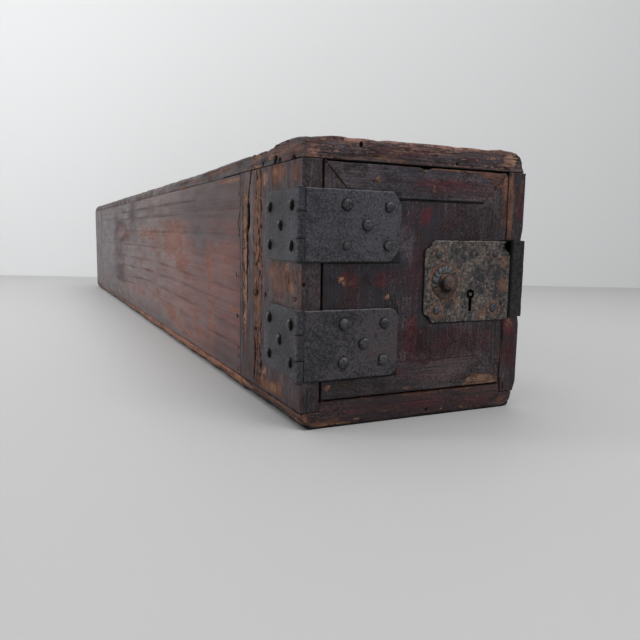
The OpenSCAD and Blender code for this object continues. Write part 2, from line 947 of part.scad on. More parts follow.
// Places on the case's back, +Z towards the door's face.
module pillar_places() {
    on_front(plate_face) for (x = pillar_xs) translate([x, pillar_z, 0]) children();
}

module lock_case() {
    color(rusty_iron) difference() {
        on_front(door_y + case_d) linear_extrude(case_d) case_outline(0);
        on_front(case_back) linear_extrude(case_d + over) case_outline(-case_t);
        translate([case_x1 - case_t - over, bolt_y0 - bolt_gap, bolt_z0 - bolt_gap])
            cube([case_t + 2 * over, bolt_t + 2 * bolt_gap, bolt_h + 2 * bolt_gap]);
        on_front(door_y) translate([key_x, key_z, 0]) hole(rivet_r, case_d + over);
        pillar_places() hole(rivet_r, plate_t + case_d + over);
        spring_rivet(nail_fit);
    }
}

// Pillars riveted through the lock plate and the case's back.
module lock_pillars() {
    inside = case_back - door_y;
    color(bright_iron) pillar_places() {
        translate([0, 0, -plate_t - case_d]) cylinder(r = rivet_r, h = plate_t + case_d);
        translate([0, 0, -plate_t - inside]) cylinder(r = pillar_r, h = inside);
    }
}

module key_post() {
    color(bright_iron) on_front(door_y + case_d) translate([key_x, key_z, 0]) {
        cylinder(r = rivet_r, h = case_t + over);
        translate([0, 0, case_t]) cylinder(r = post_r, h = case_d - case_t + plate_t * 0.8);
    }
}

module lock_bolt() {
    talon_x = key_x - bolt_throw / 2;
    color(bright_iron) on_front(bolt_y0 + bolt_t) linear_extrude(bolt_t) difference() {
        translate([bolt_x0, bolt_z0]) square([case_x1 - bolt_x0, bolt_h]);
        for (x = pillar_xs) {
            translate([x, pillar_z]) circle(slot_r);
            translate([x - bolt_throw, pillar_z]) circle(slot_r);
            translate([x - bolt_throw, pillar_z - slot_r]) square([bolt_throw, 2 * slot_r]);
        }
        translate([talon_x - talon_w / 2, bolt_z0 - over]) square([talon_w, talon_d + over]);
    }
}

module spring_rivet(grow) {
    translate([spring_x - spring_l / 2 - spring_tab / 2, bolt_y0 + bolt_t / 2, spring_top - spring_t])
        cylinder(r = rivet_r * 0.7 + grow, h = spring_t + case_t + grow);
}

// A bowed leaf: both ends bear on the case's roof and the middle presses on the bolt.
module bolt_spring() {
    color(bright_iron) {
        on_front(bolt_y0 + bolt_t) linear_extrude(bolt_t) {
            translate([spring_x - spring_l / 2 - spring_tab, spring_top - spring_t])
                square([spring_tab + spring_t, spring_t]);
            intersection() {
                translate([spring_x, spring_top - spring_drop + spring_bow_r]) difference() {
                    circle(spring_bow_r + spring_t, $fn = 96);
                    circle(spring_bow_r, $fn = 96);
                }
                translate([spring_x - spring_l / 2, bolt_z1])
                    square([spring_l, spring_room]);
            }
        }
        spring_rivet(0);
    }
}

bottom_board();
top_board();
left_front_stile();
left_side_plank();
left_rear_stile();
right_front_stile();
right_side_plank();
right_rear_stile();
back_board();
hinge_side_stop();
lock_side_stop();
side_joint_pegs();
top_board_nails();
bottom_board_nails();
back_board_nails();
upper_side_leaf();
upper_hinge_pin();
upper_side_nails();
lower_side_leaf();
lower_hinge_pin();
lower_side_nails();
edge_plate();
edge_plate_nails();
door_panel();
door_top_rail();
door_bottom_rail();
upper_front_leaf();
upper_front_nails();
lower_front_leaf();
lower_front_nails();
lock_plate();
lock_plate_nails();
flower_washer();
washer_rivet();
pull_stud();
lock_case();
lock_pillars();
key_post();
bolt_spring();
lock_bolt();
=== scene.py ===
import json
import math

import bmesh
import bpy
import numpy as np
from mathutils import Matrix
from mathutils.geometry import delaunay_2d_cdt

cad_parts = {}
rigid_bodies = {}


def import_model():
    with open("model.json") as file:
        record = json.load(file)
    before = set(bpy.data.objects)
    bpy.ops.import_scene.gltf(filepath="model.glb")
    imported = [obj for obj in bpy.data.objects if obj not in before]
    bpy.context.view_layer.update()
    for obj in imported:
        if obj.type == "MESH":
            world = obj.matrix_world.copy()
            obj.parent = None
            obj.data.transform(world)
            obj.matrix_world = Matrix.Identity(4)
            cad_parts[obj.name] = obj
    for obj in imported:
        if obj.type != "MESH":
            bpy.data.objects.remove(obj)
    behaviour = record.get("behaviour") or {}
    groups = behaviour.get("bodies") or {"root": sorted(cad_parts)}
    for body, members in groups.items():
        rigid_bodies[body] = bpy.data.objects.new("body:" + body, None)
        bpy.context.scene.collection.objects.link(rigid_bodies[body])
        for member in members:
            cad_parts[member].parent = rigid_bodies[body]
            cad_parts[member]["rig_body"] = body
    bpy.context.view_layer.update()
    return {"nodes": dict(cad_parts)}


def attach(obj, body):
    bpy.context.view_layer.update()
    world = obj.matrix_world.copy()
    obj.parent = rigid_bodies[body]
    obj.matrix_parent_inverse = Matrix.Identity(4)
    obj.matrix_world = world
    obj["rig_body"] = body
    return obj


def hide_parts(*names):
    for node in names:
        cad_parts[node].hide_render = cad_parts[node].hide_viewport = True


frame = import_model()
NODES = frame["nodes"]
MM = 0.001

# The chest's main measures, in millimetres. Its length lies along y, with the door at FRONT.
FRONT, BACK = -910.0, 910.0
WALL_OUT, WALL_IN = 133.0, 112.0      # outer and inner faces of the side walls, on both sides of x = 0
WALL_LOW, WALL_TOP = 17.0, 261.5      # their lower and upper ends
FLOOR_TOP, HEIGHT = 27.5, 280.0       # upper faces of the bottom board and of the top board
LAP_X = 122.0                         # where stile and plank meet in a wall's thickness
STILE_IN, LAP_IN = 722.0, 704.0       # where a stile's outer part ends and where its lap ends, from the middle
DX, DY0, DY1, DZ0, DZ1 = 110.8, -910.3, -889.3, 28.7, 260.3       # the door: half width, faces, height
RAIL = 33.0                           # width of the door's rails
RING = DX - RAIL                      # the mitres start here
PULL = (30.8, 143.5)                  # centre of the button pull and its washer on the door
UPPER, LOWER, LEAF = 199.5, 83.5, 35.0            # the hinges' centres and half their height
LEAF_IN = -25.5                       # the front leaves' free end
AXIS = (-136.5, -913.5)               # the hinges' axis in x and y
PX0, PX1, PZ0, PZ1 = 5.0, 117.3, 101.0, 187.0     # the lock plate on the door

# ---- noise on points, in millimetres ---------------------------------------


def lattice(i, j, k, seed):
    h = (i * 374761393 + j * 668265263 + k * 1442695041 + seed * 974634777) & 0xFFFFFFFF
    h = ((h ^ (h >> 13)) * 1274126177) & 0xFFFFFFFF
    h = ((h ^ (h >> 16)) * 2246822519) & 0xFFFFFFFF
    return ((h ^ (h >> 15)) & 0xFFFF) / 32767.5 - 1.0


def noise(p, size, seed=0):
    """Smooth value noise from -1 to 1. size is the length of a lump, one number or one per axis."""
    q = p / np.asarray(size, float)
    i = np.floor(q).astype(np.int64)
    f = q - i
    f = f * f * (3 - 2 * f)
    total = 0
    for a in (0, 1):
        wa = f[:, 0] if a else 1 - f[:, 0]
        for b in (0, 1):
            wb = f[:, 1] if b else 1 - f[:, 1]
            for c in (0, 1):
                wc = f[:, 2] if c else 1 - f[:, 2]
                total = total + wa * wb * wc * lattice(i[:, 0] + a, i[:, 1] + b, i[:, 2] + c, seed)
    return total


def fbm(p, size, seed=0, octaves=3):
    size = np.asarray(size, float)
    total, amp, norm = 0, 1.0, 0.0
    for o in range(octaves):
        total = total + amp * noise(p, size / 2 ** o, seed + 17 * o)
        norm += amp
        amp *= 0.5
    return total / norm


def smooth(x, lo, hi):
    t = np.clip((x - lo) / (hi - lo), 0, 1)
    return t * t * (3 - 2 * t)


# ---- grids and slabs ---------------------------------------------------------


def grid_lines(lo, hi, step, fine=(), exact=()):
    """Coordinates from lo to hi. fine lists (start, end, step); the steps widen slowly outside."""
    stops = sorted({lo, hi, *[e for e in exact if lo < e < hi]})
    out = [lo]
    for a, b in zip(stops, stops[1:]):
        pts, x = [a], a
        while x < b:
            s = step
            for f0, f1, fs in fine:
                gap = max(f0 - x, x - f1, 0)
                s = min(s, fs + 0.3 * gap)
            x += s
            pts.append(x)
        pts = np.array(pts)
        pts = a + (pts - a) * (b - a) / (pts[-1] - a)
        out.extend(pts[1:])
    return np.array(out)


def surface_lattice(xs, ys, zs):
    """Points and outward quads of a box's skin on a lattice."""
    n = (len(xs), len(ys), len(zs))
    idx = np.full(n, -1, np.int64)
    on = np.zeros(n, bool)
    on[[0, -1], :, :] = True
    on[:, [0, -1], :] = True
    on[:, :, [0, -1]] = True
    cells = np.argwhere(on)
    idx[on] = np.arange(len(cells))
    pts = np.c_[xs[cells[:, 0]], ys[cells[:, 1]], zs[cells[:, 2]]]
    quads = []
    for axis in range(3):
        for end in (0, -1):
            sheet = np.take(idx, end, axis=axis)
            a, b, c, d = sheet[:-1, :-1], sheet[1:, :-1], sheet[1:, 1:], sheet[:-1, 1:]
            q = np.stack([a, b, c, d], -1).reshape(-1, 4)
            # axes in order (u, v) give a normal along axis for 0 and 2, against it for 1
            if (end == 0) != (axis == 1):
                q = q[:, ::-1]
            quads.append(q)
    return pts, np.concatenate(quads)


def point_normals(pts, quads):
    d1 = pts[quads[:, 2]] - pts[quads[:, 0]]
    d2 = pts[quads[:, 3]] - pts[quads[:, 1]]
    fn = np.cross(d1, d2)
    vn = np.zeros_like(pts)
    for k in range(4):
        np.add.at(vn, quads[:, k], fn)
    ln = np.linalg.norm(vn, axis=1)
    return vn / np.maximum(ln, 1e-12)[:, None]


def round_edge(q, a, fa, sa, b, fb, sb, r):
    """Rounds the edge where axis a meets fa and axis b meets fb; sa and sb say which way is out."""
    u = sa * (fa - q[:, a])
    v = sb * (fb - q[:, b])
    du, dv = np.maximum(r - u, 0), np.maximum(r - v, 0)
    hit = (du > 0) & (dv > 0)
    m = np.maximum(du, dv)
    ln = np.maximum(np.hypot(du, dv), 1e-9)
    q[hit, a] = (fa - sa * (r - du * m / ln))[hit]
    q[hit, b] = (fb - sb * (r - dv * m / ln))[hit]


class Slab:
    """A worn board: a box's skin that is rounded, worn, chipped and cracked."""

    def __init__(self, *grid):
        self.ends = [(line[0], line[-1]) for line in grid]
        self.base, self.quads = surface_lattice(*grid)
        self.q = self.base.copy()
        self.marks = {}
        lo, hi = np.array(self.ends).T
        near = np.minimum(np.abs(self.base - lo), np.abs(hi - self.base))
        self.edge = np.sort(near, axis=1)[:, 1]          # distance to the nearest edge

    def end(self, axis, sign):
        return self.ends[axis][sign > 0]

    def on(self, axis, sign):
        """Points on one face: axis 0, 1, 2 and sign -1 (low) or 1 (high)."""
        return np.abs(self.base[:, axis] - self.end(axis, sign)) < 1e-6

    def round_all(self, r, seed, special=None):
        """r rounds every edge; special gives radii for single edges, as {(axis, sign, axis, sign): r}."""
        for a, b in ((0, 1), (0, 2), (1, 2)):
            for sa, sb in ((-1, -1), (-1, 1), (1, -1), (1, 1)):
                rr = (special or {}).get((a, sa, b, sb), r)
                along = self.base.copy()
                along[:, a] = sa * 97.0
                along[:, b] = sb * 61.0
                rr = rr * (1 + 0.4 * fbm(along, 22, seed + 5 * a + 3 * b, 3))
                round_edge(self.q, a, self.end(a, sa), sa, b, self.end(b, sb), sb, rr)

    def push(self, depth):
        """Moves the skin inwards by depth, an array."""
        self.q -= point_normals(self.q, self.quads) * depth[:, None]

    def mark(self, name, value):
        old = self.marks.get(name, np.zeros(len(self.base)))
        self.marks[name] = np.maximum(old, value)

    def finish(self, node, slot, look, end_look=None):
        """Puts the board in the node's place. end_look goes on the faces of the door end."""
        piece = mesh_piece(node + "_worn", self.q, self.quads, MAT[look], self.marks)
        if end_look:
            me = piece.data
            me.materials.append(MAT[end_look])
            normals, middles = np.empty(len(me.polygons) * 3), np.empty(len(me.polygons) * 3)
            me.polygons.foreach_get("normal", normals)
            me.polygons.foreach_get("center", middles)
            near = (normals[1::3] < -0.6) & (middles[1::3] < (FRONT + 6) * MM)
            me.polygons.foreach_set("material_index", near.astype(np.int32))
        stand_for(piece, node)


# The wear mark also carries painted highlights, the dark mark painted shade and the dust mark painted sheen and
# reflections.
MARKS = ("wear", "bare", "red", "dark", "dust_and_sheen")      # per point, read by the materials
WELD = 1e-6


def mesh_piece(name, pts, faces, material, marks):
    me = bpy.data.meshes.new(name)
    me.from_pydata((np.asarray(pts) * MM).tolist(), [], [list(map(int, f)) for f in faces])
    for m in MARKS:
        att = me.attributes.new(m, "FLOAT", "POINT")
        if m in marks:
            att.data.foreach_set("value", np.clip(marks[m], 0, 2).astype(np.float32))
    bm = bmesh.new()
    bm.from_mesh(me)
    bmesh.ops.remove_doubles(bm, verts=bm.verts, dist=WELD)
    bmesh.ops.dissolve_degenerate(bm, edges=bm.edges, dist=WELD)
    bmesh.ops.recalc_face_normals(bm, faces=bm.faces)
    bm.to_mesh(me)
    bm.free()
    me.polygons.foreach_set("use_smooth", np.ones(len(me.polygons), bool))
    me.materials.append(material)
    return place_in_scene(name, me)


def place_in_scene(name, data):
    ob = bpy.data.objects.new(name, data)
    bpy.context.scene.collection.objects.link(ob)
    return ob


def stand_for(piece, node):
    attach(piece, NODES[node]["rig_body"])
    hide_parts(node)


# ---- materials ----------------------------------------------------------------


class Tree:
    """A short way to write a node tree."""

    def __init__(self, name):
        self.mat = bpy.data.materials.new(name)
        self.mat.use_nodes = True
        self.nt = self.mat.node_tree
        self.nt.nodes.clear()
        self.out = self.nt.nodes.new("ShaderNodeOutputMaterial")
        self.bsdf = self.nt.nodes.new("ShaderNodeBsdfPrincipled")
        self.nt.links.new(self.bsdf.outputs[0], self.out.inputs["Surface"])
        self.coord = self.nt.nodes.new("ShaderNodeTexCoord").outputs["Object"]

    def node(self, kind, ins=None, out=0, **props):
        n = self.nt.nodes.new("ShaderNode" + kind)
        for k, v in props.items():
            setattr(n, k, v)
        for k, v in (ins or {}).items():
            self.put(n.inputs[k], v)
        return n.outputs[out]

    def put(self, socket, v):
        if isinstance(v, bpy.types.NodeSocket):
            self.nt.links.new(v, socket)
        else:
            socket.default_value = (*v, 1) if socket.type == "RGBA" else v

    def math(self, op, a, b=0.0):
        return self.node("Math", {0: a, 1: b}, operation=op)

    def mul(self, a, b):
        return self.math("MULTIPLY", a, b)

    def sum(self, *terms):
        """Adds sockets and numbers. A pair (socket, k) stands for the socket's swing round 0.5, times k."""
        total = None
        for x in terms:
            if isinstance(x, tuple):
                x = self.mul(self.math("ADD", x[0], -0.5), x[1])
            total = x if total is None else self.math("ADD", total, x)
        return total

    def stretch(self, scale, shift):
        return self.node("Mapping", {"Vector": self.coord, "Scale": scale, "Location": shift})

    def noise(self, scale, vector, detail, rough, warp=0.0):
        return self.node("TexNoise", {"Vector": vector, "Scale": scale, "Detail": detail, "Roughness": rough,
                                      "Distortion": warp})

    def step(self, x, lo, hi, a=0.0, b=1.0, kind="SMOOTHSTEP"):
        return self.node("MapRange", {"Value": x, "From Min": lo, "From Max": hi, "To Min": a, "To Max": b},
                         interpolation_type=kind)

    def line(self, x, lo, hi, a, b):
        return self.step(x, lo, hi, a, b, "LINEAR")

    def mix(self, fac, a, b):
        return self.node("Mix", {0: fac, 6: a, 7: b}, out=2, data_type="RGBA")

    def cover(self, under, over, lo, hi, most, *terms):
        """Lays the colour over on under: none where the terms' sum is lo, the share most where it is hi."""
        return self.mix(self.step(self.sum(*terms), lo, hi, 0, most), under, over)

    def attr(self, name):
        return self.node("Attribute", out=2, attribute_name=name)

    def shade(self, color, rough, bump=None, tall=0.0, **fixed):
        """tall is the height of the bumps in metres."""
        self.put(self.bsdf.inputs["Base Color"], color)
        self.put(self.bsdf.inputs["Roughness"], rough)
        for k, v in fixed.items():
            self.put(self.bsdf.inputs[k.replace("_", " ")], v)
        if bump is not None:
            b = self.node("Bump", {"Height": bump, "Distance": tall, "Strength": 1.0})
            self.put(self.bsdf.inputs["Normal"], b)
        return self.mat


def dim(color, k):
    return tuple(c * k for c in color)


# colours, linear
LACQUER = (0.027, 0.0185, 0.0235)
LACQUER_BROWN = (0.050, 0.0260, 0.0280)
LACQUER_BLACK = (0.0070, 0.0060, 0.0080)
HAZE_AND_SHEEN = (0.134, 0.113, 0.126)
WORN = (0.27, 0.100, 0.046)
WORN_FRONT = (0.225, 0.100, 0.068)
BARE = (0.44, 0.215, 0.098)
RED = (0.105, 0.0085, 0.0165)
SOOT_AND_SHADE = (0.0035, 0.0030, 0.0030)


def wood(name, grain, seed, tone=(LACQUER, LACQUER_BROWN), worn=WORN, bare=BARE, red_tone=RED, wear_base=0.0,
         gloss=0.42, spec=0.34, haze=0.4, chips=0.5, tall=0.0012, run=0.6, black=0.9, fibre=1.0,
         rings=(26, 8, 0.35), soft=0.0, ragged_by=1.0, cloud_seed=None):
    """Old lacquered board. grain is the axis that the fibres follow, run shortens what isn't fibre along it and
    fibre is how strongly they show. rings gives the growth lines' spread, number and strength. soft widens the
    worn places' edges. cloud_seed lets boards share their clouds, so that these pass over the joints."""
    t = Tree(name)

    def along(k, s=seed):
        squeeze = [1.0, 1.0, 1.0]
        squeeze["XYZ".index(grain)] = k
        return t.stretch(tuple(squeeze), (s * 1.37, s * 0.71, s * 2.13))

    fib, short = along(0.045 * min(run, 0.6)), along(0.20 * min(run, 0.6) + 0.6 * (1 - fibre), seed + 0.4)
    free = along(run, seed if cloud_seed is None else cloud_seed)
    broad = t.noise(9, free, 4, 0.55)
    mid = t.noise(60, free, 6, 0.66)
    fine = t.noise(430, free, 4, 0.7)
    grit = t.noise(760, along(0.5, seed + 2), 2, 0.6)
    streak = t.noise(120, fib, 7, 0.72, 0.2)
    lines = t.noise(330, fib, 4, 0.7)
    flecks = t.noise(300, short, 5, 0.7)
    pit = t.sum(t.noise(520, short, 3, 0.6), (mid, 0.5))
    wear, bared, red, dark, dust_and_sheen = (t.attr(m) for m in MARKS)

    # growth lines are the contours of a field drawn out along the fibres
    field = t.noise(rings[0], along(0.07 * min(1.0, run * 1.7)), 2, 0.4)
    wave = t.math("FRACT", t.mul(t.sum(field, (lines, 0.012)), rings[1] * 3.0))
    late = t.mul(t.step(wave, 0.0, 0.72), t.step(wave, 1.0, 0.80))

    # lacquer: warm and cool areas, dusty haze, painted sheen where the dust mark lies, dark grain, red ground
    # showing through
    col = t.cover(*tone, 0.42, 0.58, 1, broad, (streak, 0.9 * fibre), (mid, 0.8))
    for over, lo, hi, most, *terms in (
            (LACQUER_BLACK, 0.50, 0.64, black, mid, (flecks, 1.3)),
            (red_tone, 0.10, 0.72, 0.94, red, (mid, 0.7), (fine, 0.5), (streak, 0.35 * fibre)),
            (HAZE_AND_SHEEN, 0.53, 0.63, haze, lines, (fine, 1.1), (broad, 0.9)),
            (HAZE_AND_SHEEN, 0.2, 0.7, 0.8, dust_and_sheen, (mid, 0.9), (fine, 0.9), (streak, 0.5 * fibre)),
            (LACQUER_BLACK, 0.54, 0.66, 0.75 * black, grit, (mid, 0.8)),
            (LACQUER_BLACK, 0.535, 0.62, black * fibre, streak, (lines, 0.8))):
        col = t.cover(col, over, lo, hi, most, *terms)
    col = t.mix(t.mul(late, rings[2]), col, LACQUER_BLACK)
    # wear down to the stained wood, then to bare wood
    ragged = t.sum((mid, 1.1), (fine, 1.6), (streak, 1.1), (lines, 2.0), (flecks, 2.2))
    wornness = t.sum(wear, wear_base, t.mul(ragged, ragged_by))
    worn_col = t.cover(worn, dim(worn, 0.28), 0.42, 0.64, 1 - 2.2 * soft, lines, (fine, 0.6))
    worn_col = t.cover(worn_col, dim(worn, 0.22), 0.50, 0.62, 0.7 - soft, mid, (flecks, 1.2))
    col = t.cover(col, worn_col, 0.42 - soft, 0.64 + soft, 1.0 - 0.8 * soft, wornness)
    bareness = t.sum(bared, t.mul(ragged, 0.95))
    bare_col = t.cover(bare, dim(bare, 0.36), 0.42, 0.64, 1, lines, (flecks, 0.8))
    col = t.mix(t.mul(t.step(bareness, 0.45, 0.60), t.step(bared, 0.02, 0.24, 0.25, 1)), col, bare_col)
    # small chips and pin-pricks everywhere, then dirt, cracks and painted shade from the dark mark
    col = t.cover(col, worn, 0.655, 0.71, chips, flecks, (fine, 0.9), (broad, 0.7))
    col = t.cover(col, SOOT_AND_SHADE, 0.63, 0.69, black, pit)
    col = t.cover(col, SOOT_AND_SHADE, 0.0, 1.0, 1, dark)
    rough = t.sum(t.line(mid, 0.3, 0.7, gloss - 0.08, gloss + 0.14), t.step(wornness, 0.45, 0.62, 0, 0.25),
                  t.line(dark, 0.0, 0.8, 0, 0.6), t.line(dust_and_sheen, 0.0, 1.0, 0, 0.12))
    height = t.sum(t.mul(streak, fibre), t.mul(lines, 0.7 * fibre), t.mul(fine, 0.45), t.mul(mid, 0.5),
                   t.mul(late, -0.2 * rings[2]), t.step(wornness, 0.42, 0.64, 0, -0.30),
                   t.step(pit, 0.62, 0.70, 0, -0.25),
                   t.step(t.sum(streak, (lines, 0.8)), 0.535, 0.62, 0, -0.25 * fibre))
    return t.shade(col, rough, height, tall, Specular_IOR_Level=spec)


def iron(name, seed, dark=(0.022, 0.0225, 0.026), light=(0.086, 0.089, 0.101), rust=(0.11, 0.055, 0.036),
         rust_amount=0.12, metal=0.3, rough=0.50, tall=0.0013, spec=0.5):
    """Blackened hand-forged iron."""
    t = Tree(name)
    free = t.stretch((1, 1, 1), (seed * 0.91, seed * 1.7, seed * 0.37))
    broad = t.noise(20, free, 5, 0.6)
    mid = t.noise(170, free, 6, 0.74)
    fine = t.noise(470, free, 5, 0.72)
    pore = t.noise(800, t.stretch((1, 1, 1), (3.0, seed, 8.0)), 3, 0.6)
    wear, red, dirt_and_shade = (t.attr(m) for m in ("wear", "red", "dark"))
    col = t.cover(dark, light, 0.36, 0.65, 1, fine, (broad, 0.6), (mid, 0.6))
    col = t.cover(col, rust, 0.76 - rust_amount, 0.96 - rust_amount, 0.6, broad, (mid, 1.6), (fine, 0.8))
    col = t.cover(col, rust, 0.25, 0.85, 0.8, red, (mid, 1.4), (fine, 0.8))
    col = t.cover(col, dim(dark, 0.45), 0.55, 0.67, 0.75, pore, (mid, 0.25))
    # Lightened by the wear mark: rubbed edges and painted highlights; blackened by the dark mark: dirt and
    # painted shade.
    col = t.cover(col, dim(light, 1.8), 0.38, 0.9, 0.8, wear, (mid, 0.9), (fine, 0.7))
    col = t.cover(col, (0.004, 0.0038, 0.004), 0, 1, 1, dirt_and_shade)
    r = t.sum(t.line(mid, 0.3, 0.7, rough - 0.08, rough + 0.16), t.line(dirt_and_shade, 0.0, 0.8, 0, 0.5))
    height = t.sum(t.mul(broad, 0.5), mid, t.mul(fine, 0.5))
    return t.shade(col, r, height, tall, Metallic=metal, Specular_IOR_Level=spec)


def rusty(name, seed, base=(0.068, 0.053, 0.049), slate=(0.0120, 0.0155, 0.0200), pale=(0.208, 0.176, 0.148),
          orange=(0.165, 0.078, 0.050)):
    """Iron sheet with a mottled crust of lighter spots, slate-coloured blotches and rust."""
    t = Tree(name)
    free = t.stretch((1, 1, 1), (seed * 0.53, seed * 1.1, seed * 0.77))
    other = t.stretch((1, 1, 1), (seed * 3.1, 4.0, 9.0))
    blot = t.noise(66, free, 4, 0.62)
    spot = t.noise(235, free, 4, 0.62)
    spot2 = t.noise(285, other, 4, 0.62)
    fine = t.noise(560, free, 4, 0.75)
    wear, bared, red, dirt_and_shade, cool_highlight = (t.attr(m) for m in MARKS)
    col = base
    for over, lo, hi, most, *terms in (
            (slate, 0.47, 0.60, 0.85, blot, (spot, 0.9), (fine, 0.4)),
            (orange, 0.25, 0.8, 0.85, red, (spot2, 1.3), (blot, 0.8)),
            (pale, 0.51, 0.66, 0.9, spot2, (fine, 0.8), (blot, -0.6)),
            (slate, 0.55, 0.67, 0.88, spot, (fine, 1.1)),
            (dim(slate, 0.5), 0.60, 0.70, 0.7, fine),
            # The dust mark paints a cool painted highlight, wear lightens rubbed places and paints highlights,
            # bare paints dark rust and painted shade, dark paints dirt and painted shade.
            ((0.092, 0.100, 0.116), 0.30, 0.75, 0.85, cool_highlight, (spot, 0.9), (fine, 0.6)),
            ((0.27, 0.24, 0.23), 0.35, 0.85, 0.85, wear, (spot, 0.7)),
            ((0.040, 0.020, 0.014), 0.3, 0.7, 0.85, bared, (fine, 0.9)),
            ((0.006, 0.0045, 0.0045), 0, 1, 1, dirt_and_shade)):
        col = t.cover(col, over, lo, hi, most, *terms)
    r = t.sum(t.line(spot, 0.3, 0.7, 0.48, 0.75), t.line(dirt_and_shade, 0.0, 0.8, 0, 0.4))
    height = t.sum(t.mul(blot, 0.6), t.mul(spot, 0.8), t.mul(spot2, 0.7), t.mul(fine, 0.5))
    return t.shade(col, r, height, 0.0011, Metallic=0.2)


DOOR = dict(cloud_seed=5.0, run=1.0, bare=(0.37, 0.185, 0.105))
MAT = {
    "top": wood("top_wood", "Y", 1.0, tone=((0.033, 0.0225, 0.0280), (0.060, 0.0330, 0.0345)),
                worn=(0.25, 0.122, 0.092), wear_base=0.20, run=0.5, haze=0.4, spec=0.3),
    "top_end": wood("top_end_wood", "X", 1.5, tone=((0.062, 0.043, 0.051), (0.114, 0.064, 0.068)),
                    worn=(0.36, 0.186, 0.152), bare=(0.40, 0.235, 0.150), wear_base=0.16, run=0.5, haze=0.6,
                    tall=0.0024, chips=0.8),
    "bottom": wood("bottom_wood", "Y", 2.0, tone=((0.050, 0.026, 0.025), (0.086, 0.041, 0.036)),
                   wear_base=0.24, chips=0.7, worn=(0.33, 0.142, 0.086), run=0.35, haze=0.35),
    "bottom_end": wood("bottom_end_wood", "X", 2.5, tone=((0.028, 0.0120, 0.0150), (0.063, 0.0220, 0.0230)),
                       worn=WORN_FRONT, wear_base=0.03, run=0.5, haze=0.25, fibre=0.8, chips=0.3),
    "plank": wood("plank_wood", "Y", 3.0, tone=((0.064, 0.030, 0.031), (0.100, 0.046, 0.044)),
                  worn=(0.33, 0.145, 0.098), red_tone=(0.200, 0.060, 0.052), run=0.25, haze=0.10, chips=0.1,
                  tall=0.0003, black=0.16, gloss=0.38, spec=0.5, rings=(14, 5, 0.34), soft=0.34,
                  ragged_by=0.45, fibre=0.6),
    # The rear stiles' pale grey tone paints the reflection that the long side shows towards its far end.
    "rear_stile": wood("rear_stile_wood", "Z", 4.2, tone=((0.084, 0.056, 0.055), (0.120, 0.076, 0.072)),
                       haze=0.3, black=0.3, tall=0.0005, spec=0.5, fibre=0.5, chips=0.2),
    "stile": wood("stile_wood", "Z", 4.0, tone=((0.031, 0.0235, 0.0295), (0.056, 0.0330, 0.0350)),
                  wear_base=0.0, worn=(0.29, 0.112, 0.062), bare=(0.43, 0.210, 0.112), haze=0.4, fibre=0.75),
    "stile_front": wood("stile_front_wood", "Z", 4.5,
                        tone=((0.025, 0.0195, 0.0240), (0.046, 0.0305, 0.0340)), worn=WORN_FRONT,
                        bare=(0.37, 0.185, 0.115), wear_base=0.0, haze=0.5, fibre=0.4, chips=0.12, black=0.7),
    "back": wood("back_wood", "X", 9.0, tone=((0.042, 0.0235, 0.0250), (0.070, 0.0350, 0.0345)),
                 wear_base=0.05),
    "panel": wood("panel_wood", "Z", 5.0, tone=((0.0205, 0.0178, 0.0245), (0.038, 0.0250, 0.0315)), haze=0.5,
                  fibre=0.3, worn=WORN_FRONT, chips=0.28, **DOOR),
    "rail": wood("rail_wood", "X", 6.0, tone=((0.031, 0.0272, 0.0390), (0.052, 0.0360, 0.0475)), haze=0.6,
                 fibre=0.8, worn=WORN_FRONT, chips=0.12, **DOOR),
    "low_rail": wood("low_rail_wood", "X", 6.5, tone=((0.026, 0.0180, 0.0220), (0.046, 0.0250, 0.0270)),
                     haze=0.45, fibre=0.5, worn=(0.255, 0.138, 0.092), chips=0.15, **DOOR),
    "inner": wood("inner_wood", "Z", 7.0, tone=((0.16, 0.085, 0.045), (0.22, 0.12, 0.062)),
                  worn=(0.28, 0.15, 0.08)),
    "peg": wood("peg_wood", "X", 8.0, tone=((0.012, 0.009, 0.008), (0.025, 0.014, 0.011))),
    "hinge": iron("hinge_black_iron", 1.0, dark=(0.020, 0.0205, 0.025), light=(0.089, 0.089, 0.107),
                  rust=(0.062, 0.046, 0.052), tall=0.0021),
    "low_hinge": iron("low_hinge_black_iron", 1.6, dark=(0.014, 0.0135, 0.016), light=(0.083, 0.078, 0.089),
                      rust=(0.070, 0.036, 0.038), rust_amount=0.2),
    "nail": iron("nail_head_iron", 2.0, dark=(0.018, 0.0185, 0.022), light=(0.080, 0.081, 0.093), rough=0.40,
                 metal=0.45),
    "pin": iron("pin_iron_dull", 3.0, rust_amount=0.2),
    "edge": iron("edge_plate_iron", 4.0, dark=(0.0045, 0.0045, 0.005), light=(0.034, 0.033, 0.034),
                 rough=0.62, metal=0.1, spec=0.3, rust_amount=0.0),
    "case_nail": iron("case_nail_rust", 5.0, rust_amount=0.25),
    "plate": rusty("lock_plate_rust", 1.0),
    "washer": rusty("washer_rust", 1.7, base=(0.058, 0.044, 0.040), pale=(0.125, 0.102, 0.094),
                    orange=(0.14, 0.066, 0.043)),
    "pull": rusty("pull_rubbed_iron", 2.0, base=(0.058, 0.042, 0.040), pale=(0.12, 0.10, 0.10)),
    "plate_nail": iron("plate_nail_iron", 7.0, dark=(0.020, 0.0225, 0.027), light=(0.078, 0.082, 0.096),
                       rust=(0.15, 0.075, 0.05)),
    "lock": iron("lock_bare_iron", 6.0, dark=(0.05, 0.045, 0.042), light=(0.13, 0.12, 0.115), rust_amount=0.2,
                 metal=0.7),
}

